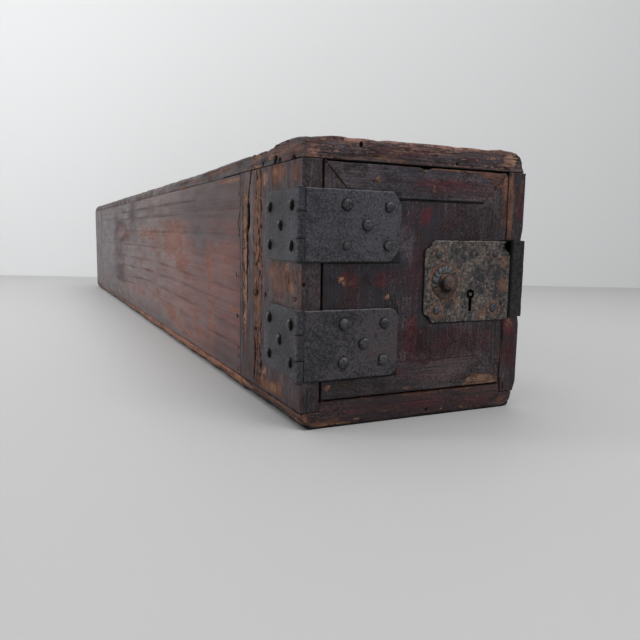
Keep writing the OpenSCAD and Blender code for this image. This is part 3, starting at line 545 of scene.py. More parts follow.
DRESS = {
    "top": ["top_board"], "bottom": ["bottom_board"],
    "plank": ["left_side_plank", "right_side_plank"],
    "stile": ["left_front_stile", "left_rear_stile", "right_front_stile", "right_rear_stile", "back_board"],
    "panel": ["door_panel"], "rail": ["door_top_rail", "door_bottom_rail"],
    "inner": ["hinge_side_stop", "lock_side_stop"], "peg": ["side_joint_pegs"],
    "hinge": ["upper_side_leaf", "lower_side_leaf", "upper_front_leaf", "lower_front_leaf"],
    "nail": ["upper_side_nails", "lower_side_nails", "upper_front_nails", "lower_front_nails"],
    "pin": ["upper_hinge_pin", "lower_hinge_pin"], "edge": ["edge_plate", "edge_plate_nails"],
    "case_nail": ["top_board_nails", "bottom_board_nails", "back_board_nails"],
    "plate": ["lock_plate", "lock_plate_nails", "flower_washer", "washer_rivet"], "pull": ["pull_stud"],
    "lock": ["lock_case", "lock_pillars", "key_post", "bolt_spring", "lock_bolt"],
}
for look, names in DRESS.items():
    for n in names:
        me = NODES[n].data
        me.materials.clear()
        me.materials.append(MAT[look])

# ---- boards --------------------------------------------------------------------


def blob(u, v, cu, cv, ru, rv, seed=0, rag=0.35, power=2.0):
    """1 inside a ragged ellipse, 0 outside. A higher power squares it off."""
    p = np.c_[u, v, np.full(len(u), 7.0 * seed)]
    d = (np.abs((u - cu) / ru) ** power + np.abs((v - cv) / rv) ** power) ** (1 / power)
    return 1 - smooth(d + rag * fbm(p, (ru * 0.9, rv * 0.9, 50), seed, 3), 0.35, 1.35)


def spots(slab, face, u, v, rows):
    """rows of (mark, strength, u, v, ru, rv) on one face."""
    for k, (mark, strength, cu, cv, ru, rv) in enumerate(rows):
        rag, power = (0.6, 3.5) if mark in ("red", "dust_and_sheen", "dark") else (0.35, 2.0)
        slab.mark(mark, face * strength * blob(u, v, cu, cv, ru, rv, k, rag, power))


def dimples(slab, face, u, v, rows):
    """rows of (u, v, radius, depth): small holes such as those left by tacks."""
    depth = np.zeros(len(u))
    for cu, cv, r, deep in rows:
        d = np.hypot(u - cu, v - cv)
        depth = np.maximum(depth, face * deep * (1 - smooth(d, 0.45 * r, 1.25 * r)))
        slab.mark("dark", face * (1 - smooth(d, 0.8 * r, 1.45 * r)))
    return depth


def rough_wood(slab, grain, seed, amount=0.28, edge_amount=0.9, edge_reach=4.0):
    """Uneven surface along the grain, more at the edges, as a depth."""
    size = [9.0, 9.0, 9.0]
    size[grain] = 120.0
    p = slab.base
    depth = amount * (0.5 + 0.5 * fbm(p, size, seed, 3))
    depth = depth + amount * 0.8 * (0.5 + 0.5 * fbm(p, (45, 60, 45), seed + 3, 2))
    near = np.exp(-slab.edge / edge_reach)
    nick = smooth(fbm(p, (14, 14, 14), seed + 9, 3), 0.12, 0.65)
    depth = depth + edge_amount * near * (0.25 + nick)
    slab.mark("wear", np.clip(near * (0.30 + 0.55 * nick), 0, 1))
    return depth


def crack(u, v, path, wide, deep, seed, soot_and_shade=0.0):
    """A split that runs along v. path is [(v, u, half width), ...]. Returns its depth, its core and its rim."""
    path = sorted(path)
    vs, us, ws = (np.array(c, float) for c in zip(*path))
    p = np.c_[u * 0, v, np.full(len(u), seed * 3.0)]
    mid = np.interp(v, vs, us) + 0.9 * fbm(p, (1, 9, 1), seed, 3)
    half = np.interp(v, vs, ws, left=0, right=0) * (1 + 0.6 * fbm(p, (1, 4.5, 1), seed + 4, 3)) * wide
    d = np.abs(u - mid)
    live = half > 0.05
    depth = np.where(live, deep * (1 - smooth(d, 0.35 * half, half + 0.4)), 0)
    # The core is painted dark: dirt and painted shade in the split; the last argument spreads it past the lips.
    core = np.where(live, 1 - smooth(d, 0.75 * half + 0.3 * soot_and_shade, half + 0.35 + 0.8 * soot_and_shade), 0)
    rim = np.where(live, 1 - smooth(d, half, half + 3.0), 0)
    return depth, core, rim


def long_lines(first, near, step):
    """Lattice lines along the chest, closest over the first millimetres, close up to near."""
    fine = [(FRONT, FRONT + first, 1.0), (FRONT, FRONT + near, step), (BACK - 20, BACK, 2.5)]
    return grid_lines(FRONT, BACK, 13, fine)


def wall_lines(step, fine):
    """Lattice lines up a wall."""
    near = [(WALL_LOW, WALL_LOW + 3, fine), (WALL_TOP - 3, WALL_TOP, fine)]
    return grid_lines(WALL_LOW, WALL_TOP, step, near)


def top_board():
    wide = 131.5
    xs = grid_lines(-wide, wide, 2.4, [(-wide, -114, 1.3), (-75, -69, 0.7), (114, wide, 1.3)])
    s = Slab(xs, long_lines(4, 150, 2.2), grid_lines(WALL_TOP, HEIGHT, 1.0))
    x, y, z = s.base.T
    yf = y - FRONT
    left_round = np.interp(yf, [0, 180, 260, 350, 450], [3, 3.5, 6, 10, 13])
    s.round_all(0.5, 11, {(0, -1, 2, 1): left_round, (0, 1, 2, 1): 17.5, (1, -1, 2, 1): 3.0, (1, 1, 2, 1): 11})
    depth = rough_wood(s, 1, 12, 0.35, 1.2, 5) * (0.2 + 0.8 * smooth(z, 262, 266))
    # the board is warped upwards at the door, and its upper edge dips and rises
    sway = np.interp(x, [-131, -126, -116, -96, -68, -52, -42, -20, 10, 60, 84, 93, 99, 106, 116, 131],
                     [1.2, 2.6, 3.9, 4.3, 4.2, 3.5, 4.2, 4.1, 4.4, 4.2, 4.1, 4.6, 5.4, 4.4, 4.0, 3.4])
    back_off = np.interp(yf, [0, 60, 82, 110], [1, 1, .45, 0])
    hump = np.interp(yf, [0, 8, 20, 45, 62, 78, 84, 100, 130], [1.4, 2.4, 3.4, 4.2, 3.6, 3.0, 1.0, 0.2, 0])
    at_left = 1 - smooth(x, -126, -100)
    s.q[:, 2] += smooth(z, 262, 280) * (at_left * hump + (1 - at_left) * sway * back_off)
    front = s.on(1, -1)
    hole = dimples(s, front, x, z, [(-72, 274.4, 1.9, 3), (41.5, 265.8, 1.5, 3), (-120, 271, .8, 1)])
    near = np.where(front, 1.0, 1 - smooth(yf + 5 * fbm(s.base, (9, 9, 9), 72, 2), 1, 15))
    spots(s, near, x, z, [
        ("wear", .9, -86, 279, 40, 5.5), ("bare", .74, -64, 281, 26, 3.2), ("bare", .6, -104, 278, 14, 2.4),
        ("wear", .9, 112, 272, 13, 9), ("wear", .8, -30, 279.5, 40, 4.5), ("wear", .85, 40, 279, 46, 5),
        ("wear", .6, 0, 273, 60, 3), ("wear", .7, 92, 278, 22, 4), ("bare", .72, 116, 271, 12, 7),
        ("bare", .56, 98, 273, 10, 4), ("bare", .5, 58, 279, 30, 2), ("bare", .68, 104, 267, 11, 3.6),
        ("bare", .60, 121, 268, 7, 6), ("wear", .8, 40, 281, 50, 3.2), ("wear", .45, 10, 263.6, 70, 1.2),
        ("wear", .62, -122, 268, 8, 8), ("red", .40, -20, 271, 40, 5), ("red", .34, 70, 270, 22, 4),
        ("bare", .56, 62, 276, 18, 1.8), ("wear", .8, 8, 278, 18, 2.6), ("dust_and_sheen", .45, -100, 271, 26, 4),
        ("dust_and_sheen", .4, 10, 268, 30, 3), ("dust_and_sheen", .6, -50, 277.5, 30, 1.8), ("dust_and_sheen", .55, 30, 276, 26, 1.6),
        ("dust_and_sheen", .5, 88, 277, 14, 1.6), ("dark", .42, -88, 265.5, 12, 2.2), ("dark", .42, 24, 266.5, 16, 2.2),
        ("dark", .4, 80, 269, 14, 2), ("dark", .35, -8, 272, 12, 1.2), ("dark", .5, 112, 268.6, 5, 1.0),
        ("dark", .5, 118, 276, 4, 1.0), ("dark", .26, 52, 266.5, 30, 3.4), ("dark", .24, -40, 266.5, 34, 3),
        ("dark", .5, 96, 264.6, 7, 1.4), ("wear", .55, 84, 274, 14, 4), ("bare", .5, 74, 266, 18, 1.4),
        ("bare", .5, -46, 266, 12, 1.4)])
    s.mark("dark", near * (1 - smooth(z, 261.9, 263.2)) * 0.95)
    left = (y < -400) * (1 - smooth(x + 3 * fbm(s.base, (9, 9, 9), 73, 2), -129, -120))
    seam = 262.1 + 1.7 * np.clip(fbm(s.base, (9, 9, 1e6), 75, 3), 0, 1)
    s.mark("dark", left * (yf < 260) * (1 - smooth(z, seam, seam + 1.0)) * 0.95)
    hole = hole + dimples(s, left * ~front, yf, z, [
        (76, 266, 3.4, 6), (64, 264.3, 2.6, 5), (28, 264.2, 1.7, 3), (44, 279, 2.2, 4), (96, 270, 1.6, 2),
        (112, 266, 2.0, 3), (118, 277, 2.0, 3)])
    spots(s, left, yf, z, [
        ("wear", .6, 60, 273, 70, 6), ("bare", .7, 94, 271, 10, 4), ("wear", .7, 130, 274, 40, 6),
        ("wear", .5, 20, 272, 20, 7), ("dust_and_sheen", .5, 34, 274, 30, 5), ("dust_and_sheen", .45, 150, 272, 34, 5),
        ("dark", .9, 76, 266, 5, 2.4), ("dark", .9, 62, 265, 4, 2), ("dark", .8, 28, 264.5, 3, 2),
        ("dark", .75, 70, 280, 26, 1.6), ("wear", .5, 260, 272, 90, 5), ("wear", .45, 430, 268, 90, 5),
        ("bare", .5, 150, 265, 50, 2), ("red", .5, 40, 268, 30, 6), ("dark", .4, 110, 268, 14, 3),
        ("wear", .45, 900, 270, 300, 6), ("dark", .3, 330, 275, 60, 3), ("dark", .3, 480, 271, 50, 3),
        ("bare", .45, 560, 264, 120, 2), ("red", .5, 620, 272, 160, 5)])
    s.mark("wear", (z > HEIGHT - 0.1) * 0.22)
    chips = smooth(fbm(s.base, (11, 15, 11), 77, 3), 0.12, 0.42) * np.exp(-s.edge / 6)
    chips = chips * (1 - smooth(yf, 130, 190)) * (x < -90)
    patchy = smooth(fbm(s.base, (5, 7, 5), 79, 2), -0.1, 0.3)
    s.mark("bare", 0.62 * smooth(chips, 0.15, 0.5) * (yf > 12) * patchy)
    s.mark("dark", 0.8 * smooth(chips, 0.35, 0.7) * smooth(fbm(s.base, (4, 5, 4), 80, 2), 0.15, 0.4))
    gouges = near * smooth(fbm(s.base, (26, 30, 4.5), 78, 3), 0.12, 0.5) * smooth(z, 263, 267)
    s.mark("wear", 0.45 * gouges)
    gnaw = near * blob(x, z, 108, 266, 13, 3.4, 31, .45)
    s.mark("dark", 0.75 * near * blob(x, z, 108, 265, 9, 1.8, 31, .6))
    s.push(depth + hole + 2.4 * chips + 0.8 * gouges + 1.6 * gnaw)
    s.finish("top_board", "case_wood", "top", "top_end")


def bottom_board():
    xs = grid_lines(-WALL_OUT, WALL_OUT, 2.8, [(-WALL_OUT, -115, 1.3), (115, WALL_OUT, 1.3)],
                    (-WALL_IN - 0.03, -WALL_IN, WALL_IN, WALL_IN + 0.03))
    s = Slab(xs, long_lines(6, 240, 2.4), grid_lines(0, FLOOR_TOP, 1.6, [(0, 4, 1.2)], (WALL_LOW,)))
    x, y, z = s.base.T
    yf = y - FRONT
    s.round_all(1.0, 21, {(0, -1, 2, -1): 13.5, (0, 1, 2, -1): 17, (1, -1, 2, -1): 1.8, (1, 1, 2, -1): 11})
    depth = rough_wood(s, 1, 22, 0.3, 1.0, 4) * (z > 0.3)
    s.q[:, 0] -= 2.0 * smooth(x, 118, WALL_OUT) * np.exp(-yf / 120)      # the right end is worn short
    # Painted contact shadow: a dark band along the board's lowest few millimetres.
    s.mark("dark", 0.95 * (1 - smooth(z + 0.8 * fbm(s.base, (14, 14, 9), 29, 2), 1.5, 3.3)))
    front = s.on(1, -1)
    hole = dimples(s, front, x, z, [(-64, 3.6, 1.4, 3), (16, 6.5, 1.6, 3)])
    spots(s, np.where(front, 1.0, 1 - smooth(yf, 2, 18)), x, z, [
        ("wear", .66, -114, 5, 24, 2.6), ("bare", .46, -96, 3.6, 26, 1.3), ("wear", .85, -128, 12, 4, 6),
        ("bare", .66, 34, 8, 3, 5), ("bare", .52, 60, 7, 9, 3), ("red", .42, 10, 14, 40, 7),
        ("red", .36, 84, 13, 26, 7), ("wear", .36, -92, 8, 14, 3), ("wear", .7, 118, 8, 12, 6),
        ("wear", .5, 20, 25.5, 60, 1.6), ("wear", .6, 0, 1.5, 110, 2.0), ("wear", .4, -30, 12, 30, 4),
        ("bare", .5, -70, 6, 5, 2), ("bare", .45, -4, 20, 6, 1), ("wear", .5, -60, 18, 18, 2),
        ("red", .34, -60, 16, 30, 6)])
    s.mark("dark", front * 0.9 * smooth(z, 26.0, 27.0) * (np.abs(x) < 111.5))
    side = (x < -100) & (z < 20)
    spots(s, side, yf, z, [
        ("wear", 1.1, 700, 12, 600, 7), ("bare", .66, 190, 9, 44, 4), ("wear", 1.0, 280, 12, 150, 7),
        ("bare", .58, 330, 12, 80, 4), ("bare", .5, 560, 13, 160, 3), ("wear", .3, 90, 13, 40, 3),
        ("wear", .7, 16, 7, 9, 3), ("bare", .6, 12, 9, 7, 3), ("red", .5, 420, 10, 300, 8),
        ("dark", .5, 130, 12, 20, 4), ("dark", .42, 66, 9, 76, 6), ("dust_and_sheen", .5, 60, 11, 50, 5)])
    crumbs = side * smooth(fbm(s.base, (7, 11, 4), 26, 3), 0.20, 0.5) * (yf < 420)
    s.mark("dark", 0.6 * crumbs * smooth(z, 1, 4))
    s.push(depth + hole + 0.9 * crumbs)
    wide = np.abs(x) > WALL_IN + 0.01
    s.q[wide, 2] = np.minimum(s.q[wide, 2], WALL_LOW - 0.1)
    s.q[:, 2] = np.maximum(s.q[:, 2], 0.0)
    s.finish("bottom_board", "case_wood", "bottom", "bottom_end")


def wall_faces(side):
    return (-WALL_OUT, -WALL_IN) if side < 0 else (WALL_IN, WALL_OUT)


def left_front_wear(s, face, front, x, yf, z):
    """Cracks, worm tracks and flaked lacquer beside the hinges. Returns how deep they go."""
    hole = 0
    cracks = [crack(yf, z, path, *rest) for path, *rest in (
        ([(262, 147, 2.6), (250, 151, 2.8), (243, 154, 2.0), (235, 157, 1.2), (222, 157, 4.4),
          (212, 156, 5.6), (202, 157, 5.6), (192, 161, 4.0), (176, 161, 3.8), (164, 161, 3.2),
          (156, 159, 2.0), (149, 162, .9), (138, 163, 2.0), (124, 163, 3.0), (114, 163, 4.2),
          (108, 166, 3.2), (103, 170, .5)], 1.0, 9, 5, 0.9),
        ([(258, 118, 1.8), (246, 114, 1.2), (228, 116, 1.6), (216, 113, 1.4), (200, 119, .6),
          (183, 120, 1.3), (168, 119, 1.2), (157, 128, 2.2), (154, 126, .3), (146, 120, .5), (124, 128, 1.5),
          (120, 124, .2)], 0.75, 3, 6, 0.3),
        ([(76, 136, .5), (66, 133, 1.8), (50, 134, 1.9), (34, 134, 1.7), (22, 138, .6)], 1.0, 5, 7, 0.7),
        ([(50, 110, 1.5), (44, 114, 1.8), (36, 111, .8), (30, 116, 1.4), (22, 113, 1.2)], 1.0, 3.5, 8))]
    worm = smooth(fbm(s.base, (5, 5, 11), 91, 3), 0.16, 0.42)
    lane2 = blob(yf, z, 124, 150, 14, 140, 3, .3)
    for d, c, _ in cracks:
        hole = np.maximum(hole, face * d)
        s.mark("dark", face * c)
    r1, r2, r3 = (rim for _, _, rim in cracks[:3])
    flaked = 0.70 + 0.30 * smooth(fbm(s.base, (4, 3, 8), 94, 3), -0.25, 0.25)
    lane1 = np.maximum(0.98 * blob(yf, z, 172.5, 152, 6.5, 96, 2, .35), 0.66 * r1 * (z > 190))
    s.mark("bare", face * flaked * lane1)
    s.mark("wear", face * np.maximum(0.85 * r2, 0.9 * r3))
    s.mark("bare", face * lane2 * (0.44 + 0.40 * worm))
    s.mark("wear", face * lane2 * 0.7)
    s.mark("red", face * 0.34)
    s.mark("wear", face * 0.10)
    bored = smooth(fbm(s.base, (2.6, 2.8, 6.0), 93, 2), 0.20, 0.42) * face
    tunnels = bored * np.maximum(lane2, 0.9 * blob(yf, z, 170, 150, 8, 110, 12, .3))
    s.mark("dark", 0.95 * smooth(tunnels, 0.25, 0.7))
    hole = hole + face * (2.2 * blob(yf, z, 172, 150, 6.5, 88, 2, .2) + 1.3 * lane2 * worm) + 2.2 * tunnels
    spots(s, face, yf, z, [
        ("bare", .60, 170, 232, 9, 12), ("bare", .5, 150, 194, 5, 8), ("wear", .8, 118, 245, 14, 20),
        ("bare", .54, 100, 250, 14, 10), ("wear", .8, 66, 252, 26, 12), ("wear", 1.7, 17, 249, 6.0, 9),
        ("bare", .5, 72, 254, 9, 7), ("wear", .66, 60, 145, 50, 22), ("bare", .46, 36, 158, 12, 6),
        ("bare", .50, 58, 124, 20, 2.4), ("bare", .44, 24, 137, 12, 9), ("wear", .6, 126, 142, 12, 14),
        ("bare", .48, 127, 140, 6, 10), ("wear", .62, 128, 114, 9, 9), ("bare", .48, 112, 34, 8, 12),
        ("wear", .8, 90, 27, 50, 9), ("bare", .5, 74, 27, 16, 6), ("wear", .75, 60, 30, 14, 12),
        ("bare", .5, 100, 40, 9, 8), ("wear", .42, 165, 60, 12, 20), ("wear", .55, 130, 50, 5, 28),
        ("bare", .5, 172, 92, 5, 14), ("wear", .5, 8, 140, 5, 26), ("bare", .42, 80, 150, 18, 8),
        ("bare", .42, 62, 136, 12, 9), ("dark", .7, 114, 222, 3, 6), ("dark", .7, 119, 180, 3, 6),
        ("dark", .8, 113, 44, 5, 3), ("dark", .7, 131, 123, 4, 2.4), ("dust_and_sheen", .5, 30, 250, 5, 11),
        ("dust_and_sheen", .45, 5, 252, 5, 9), ("dust_and_sheen", .4, 150, 90, 8, 50), ("dust_and_sheen", .4, 30, 34, 26, 12)])
    hole = hole + dimples(s, face, yf, z, [
        (99, 125, 2.2, 3), (131, 157, 2.4, 4), (15, 128, 2.2, 3), (160, 157, 2.2, 4)])
    hole = hole + dimples(s, front, x, z, [(-130.5, 143, 1.9, 4)])
    spots(s, front, x, z, [
        ("wear", .55, -133, 150, 3, 16), ("wear", .5, -113, 150, 1.6, 20), ("wear", .5, -132.5, 243, 2.5, 12),
        ("red", .22, -120, 145, 8, 14), ("bare", .5, -113, 244, 1.4, 10), ("bare", .5, -131, 238, 2, 3),
        ("dust_and_sheen", .4, -124, 252, 6, 8), ("dust_and_sheen", .3, -122, 246, 8, 16), ("dark", .42, -122, 34, 12, 18),
        ("bare", .52, -132, 254, 1.2, 1.6), ("bare", .52, -132, 246, 1.2, 1.4),
        ("bare", .58, -131.5, 240, 2.0, 1.6), ("wear", .7, -113, 36, 1.6, 10)])
    s.mark("dark", front * smooth(x, -113.4, -112.6) * 0.9)
    # the joint with the plank is ragged here and there
    s.mark("dark", face * (1 - smooth(np.abs(yf - 188), 0.5, 1.6)) * 0.9)
    return hole


def right_front_wear(s, front, x, yf, z):
    """Worn paint and gnawed edges beside the lock. Returns how deep they go."""
    spots(s, front, x, z, [
        ("wear", .80, 115, 226, 6.5, 44), ("bare", .42, 116, 214, 4, 22), ("bare", .5, 114, 250, 3.5, 9),
        ("wear", 1.0, 113, 247, 4, 14), ("wear", .8, 121, 96, 5, 8), ("red", .7, 120, 92, 8, 12),
        ("red", .5, 124, 60, 8, 26), ("wear", .6, 113, 70, 2, 22), ("bare", .6, 114, 74, 1.8, 1),
        ("bare", .6, 114, 91, 1.8, 1), ("bare", .6, 114, 52, 1.8, 1), ("wear", .45, 130, 230, 3, 30),
        ("dark", .3, 128, 215, 3, 14), ("dark", .3, 126, 40, 8, 22), ("dark", .32, 122, 66, 12, 36),
        ("red", .28, 124, 50, 14, 44), ("red", .5, 127, 232, 5, 24), ("wear", .5, 128, 244, 2, 10),
        ("bare", .45, 124, 222, 1.5, 7), ("dust_and_sheen", .4, 129, 250, 3, 8), ("bare", .5, 130, 206, 2, 4)])
    s.mark("dark", (yf < 14) * (x < 124) * smooth(z, 168, 172) * (1 - smooth(z, 187.5, 189.5)))
    # the wall leans out a little above and below the lock
    lean = 2.2 * smooth(z, 186, 204) + 3.2 * (1 - smooth(z, 92, 112)) * smooth(z, 17, 30)
    s.q[:, 0] += lean * smooth(x, 116, 132) * np.exp(-(yf / 90) ** 2)
    gnaw = blob(x, z, 111.5, 26, 3.2, 8, 4, .3) + 0.8 * blob(x, z, 112, 80, 1.6, 22, 5, .6)
    hole = front * 3.5 * np.clip(gnaw, 0, 1)
    s.mark("dark", front * 0.8 * blob(x, z, 111.8, 26, 2.6, 7, 4, .3))
    bitten = 2.2 * blob(x * 0 + 111.5, z, 111.5, 25, 3, 7, 4, .3)
    s.q[:, 0] += s.on(0, -1) * bitten * (yf < 14)
    return hole


def stile(node, side, end):
    """side -1 left, 1 right; end -1 front, 1 rear. The lap lies behind the plank."""
    y_out, y_in, y_lap = end * BACK, end * STILE_IN, end * LAP_IN
    by_hinges, by_lock = node == "left_front_stile", node == "right_front_stile"
    step = 1.7 if end < 0 else 5.0
    fine_y = [(y_out - 5, y_out + 5, 1.5)]
    if by_hinges:
        fine_y = [(FRONT + 98, FRONT + 190, 0.85), (FRONT, FRONT + 6, 1.1)]
    ys = grid_lines(min(y_out, y_lap), max(y_out, y_lap), step * 1.2, fine_y, (y_in - 0.03 * end, y_in))
    cut = side * LAP_X
    s = Slab(grid_lines(*wall_faces(side), 1.8, (), (cut, cut + 0.03 * side)), ys, wall_lines(step * 1.15, 1.2))
    x, y, z = s.base.T
    seed = 31 + 3 * side + 7 * end
    outer = (0, side, 1, end)
    s.round_all(0.9, seed, {outer: 0.9 if by_lock else 2.6, (0, side, 2, 1): 0.4, (1, end, 2, 1): 0.4})
    depth = rough_wood(s, 2, seed, 0.30, 0.35 if by_lock else 0.8, 3.5) * smooth(WALL_TOP - z, -0.5, 3)
    yf = y - FRONT
    face = s.on(0, side)
    front = s.on(1, end)
    if by_hinges:
        hole = left_front_wear(s, face, front, x, yf, z)
    elif by_lock:
        hole = right_front_wear(s, front, x, yf, z)
    else:
        hole = 0
        s.mark("wear", face * 0.5 * smooth(fbm(s.base, (30, 30, 90), seed, 3), 0.3, 0.7))
    s.push(depth + hole)
    # only the lap goes on behind the plank; the outer part of the thickness ends at y_in
    beyond = (side * x > LAP_X + 0.01) & (end * y < STILE_IN)
    s.q[beyond, 1] = (np.minimum if end < 0 else np.maximum)(s.q[beyond, 1], y_in)
    if by_lock:
        # mortise for the bolt, open to the front behind the lock plate
        bottom = FRONT + 9
        dig = (z > 140.4) & (z < 186) & (x < 123) & (y < bottom)
        s.q[dig & front, 1] = bottom
        inner = dig & ~front & s.on(0, -1)
        s.q[inner, 1] = np.maximum(s.q[inner, 1], bottom)
    s.finish(node, "stile_wood", *(("stile", "stile_front") if end < 0 else ("rear_stile",)))


def side_plank(node, side):
    ends, lap = STILE_IN - 0.2, LAP_IN - 0.2        # the plank clears the stiles by 0.2
    near = (-ends, -690, 2.2) if side < 0 else (-ends, -700, 4)
    ys = grid_lines(-ends, ends, 15, [near], (-lap - 0.03, -lap, lap, lap + 0.03))
    cut = side * (LAP_X + 0.2)
    xs = grid_lines(*wall_faces(side), 3.0, (), (cut - 0.03 * side, cut))
    s = Slab(xs, ys, wall_lines(2.3 if side < 0 else 3.4, 1.3))
    x, y, z = s.base.T
    s.round_all(0.9, 51 + side, {(0, side, 1, 1): 0.25})
    depth = rough_wood(s, 1, 52 + side, 0.30, 0.8, 3.0)
    face = s.on(0, side)
    yf = y - FRONT
    # growth rings that stand out along the plank, curving as they go
    for k, (pts, wide, deep) in enumerate([
            ([(190, 190), (600, 192), (1100, 196), (1632, 200)], 1.2, .5),
            ([(190, 120), (420, 126), (750, 134), (1100, 133), (1632, 116)], 1.4, .6),
            ([(190, 100), (420, 107), (800, 113), (1200, 108), (1632, 92)], 1.3, .5),
            ([(190, 74), (420, 82), (800, 92), (1632, 70)], 1.1, .35),
            ([(190, 52), (500, 60), (1000, 72), (1632, 50)], 1.1, .35),
            ([(190, 222), (600, 221), (1632, 226)], 1.1, .35),
            ([(190, 240), (600, 240), (1632, 243)], 1.1, .3),
            ([(190, 156), (600, 163), (1632, 160)], 1.0, .2)]):
        ys_, zs_ = zip(*pts)
        mid = np.interp(yf, ys_, zs_) + 1.2 * fbm(s.base, (1e6, 160, 1e6), 60 + k, 2)
        d = np.abs(z - mid)
        depth = depth + face * deep * (1 - smooth(d, 0.3, wide + 1.2))
        broken = (0.55 + 0.6 * fbm(s.base, (1e6, 90, 1e6), 160 + k, 2)) * (1 - 0.8 * smooth(yf, 1050, 1400))
        s.mark("dark", face * 0.40 * broken * (1 - smooth(d, 0.2, wide + 1.8)))
    if side < 0:
        spots(s, face, yf, z, [
            ("wear", .74, 565, 176, 120, 44), ("wear", .66, 500, 150, 80, 32),
            ("wear", .62, 600, 206, 80, 12), ("wear", .72, 325, 138, 26, 46), ("wear", .70, 322, 66, 26, 46),
            ("wear", .66, 600, 50, 90, 20), ("wear", .62, 530, 38, 60, 14), ("wear", .6, 450, 30, 90, 9),
            ("wear", .6, 380, 46, 40, 18), ("wear", .55, 850, 192, 80, 14), ("wear", .55, 760, 185, 80, 18),
            ("wear", .5, 495, 204, 54, 10), ("wear", .45, 260, 150, 50, 50), ("wear", .45, 620, 130, 60, 18),
            ("wear", .45, 430, 66, 60, 18), ("wear", .42, 900, 60, 300, 16), ("wear", .38, 700, 170, 160, 60),
            ("wear", .34, 420, 100, 200, 60), ("wear", .5, 700, 70, 120, 30),
            ("red", .55, 270, 130, 100, 110), ("red", .46, 440, 110, 190, 110),
            ("red", .3, 760, 110, 260, 100), ("dark", .2, 690, 150, 14, 5), ("dark", .18, 700, 76, 16, 6),
            # The broad dust spot far along the wall paints the grey reflection that the lacquer shows there.
            ("red", .34, 1180, 190, 110, 24), ("dust_and_sheen", .6, 1560, 150, 300, 130),
            ("dust_and_sheen", .3, 400, 215, 160, 24), ("bare", .55, 207, 97, 16, 1.4), ("wear", .9, 215, 97, 22, 3),
            ("bare", .6, 220, 257, 50, 2.2), ("wear", .9, 230, 256, 80, 3), ("bare", .5, 200, 239, 9, 2)])
        hole = dimples(s, face, yf, z, [
            (203, 140.5, 2.2, 3), (200, 90, 2.4, 2), (195, 50, 1.8, 2), (196, 40, 1.8, 2), (196, 23, 1.8, 2),
            (275, 20, 3, 2)])
        wav = 1 - smooth(np.abs(yf - (193 + 2.5 * np.sin(z / 3.5))), 0.8, 2.6)
        s.mark("dark", face * 0.8 * wav * smooth(z, 186, 194) * (1 - smooth(z, 214, 220)))
        # two knots, as seen along the wall: dark eyes with rings round them
        for cu, cv, ru, rv, eye, halo in ((1190, 192, 130, 25, 0.12, 0.32), (1210, 84, 110, 21, 0.34, 0.26)):
            near_knot = np.hypot((yf - cu) / ru, (z - cv) / rv) + 0.5 * fbm(s.base, (60, 110, 17), 83, 3)
            broken = np.clip(0.62 + 0.9 * fbm(s.base, (60, 70, 22), 87, 2), 0.1, 1.1)
            knot = halo * broken * np.exp(-((near_knot - 0.85) / 0.30) ** 2)
            knot = knot + eye * np.exp(-(near_knot / 0.6) ** 2)
            s.mark("dark", face * knot)
        # darker figure across the board
        for cu, cv, ru, rv, strength in (
                (1000, 234, 42, 22, 0.34), (1010, 196, 60, 18, 0.16), (1230, 140, 90, 30, 0.22),
                (1290, 226, 60, 16, 0.2), (780, 240, 30, 12, 0.15)):
            s.mark("dark", face * strength * np.exp(-((yf - cu) / ru) ** 2 - ((z - cv) / rv) ** 2))
        s.mark("dark", face * 0.15 * (1 - smooth(yf, 260, 640)))
        chip = blob(yf, z, 205, 96.5, 17, 1.8, 6, .3)
        hole = hole + face * 1.6 * chip
    else:
        hole = 0
        s.mark("wear", face * 0.45 * smooth(fbm(s.base, (30, 160, 40), 71, 3), 0.2, 0.7))
    s.push(depth + hole)
    inner = side * x < LAP_X + 0.19
    s.q[inner, 1] = np.clip(s.q[inner, 1], -lap, lap)
    s.finish(node, "case_wood", "plank")


def back_board():
    y0 = BACK - 18
    xs = grid_lines(-WALL_IN, WALL_IN, 6, [(-WALL_IN, 2 - WALL_IN, 1.2), (WALL_IN - 2, WALL_IN, 1.2)])
    ys = grid_lines(y0, BACK, 4, [(y0, y0 + 2, 1.2), (BACK - 2, BACK, 1.0)])
    near = [(FLOOR_TOP, FLOOR_TOP + 2.5, 1.2), (WALL_TOP - 2.5, WALL_TOP, 1.2)]
    zs = grid_lines(FLOOR_TOP, WALL_TOP, 6, near)
    s = Slab(xs, ys, zs)
    s.round_all(0.8, 81)
    s.push(rough_wood(s, 0, 82, 0.3, 0.8, 3))
    s.finish("back_board", "stile_wood", "back")


# ---- door -----------------------------------------------------------------------

def door_slab(z_lo, z_hi, clip, z_step, exact_x=(), exact_z=()):
    """A piece of the door. clip gives its lower and upper outline from |x|."""
    xs = grid_lines(-DX, DX, 1.35, [(-DX, -DX + 2, 0.7), (DX - 2, DX, 0.7)], (-RING, RING, *exact_x))
    zs = grid_lines(z_lo, z_hi, z_step, [(z_lo, z_lo + 1.5, 0.6), (z_hi - 1.5, z_hi, 0.6)], exact_z)
    s = Slab(xs, grid_lines(DY0, DY1, 5, [(DY0, DY0 + 1.5, 0.6)]), zs)
    x, _, z = s.base.T
    lo, hi = clip(np.abs(x))
    s.base[:, 2] = s.q[:, 2] = np.clip(z, lo, hi)
    s.edge = np.minimum(np.minimum(z - lo, hi - z), DX - np.abs(x))      # distance to the piece's own outline
    return s


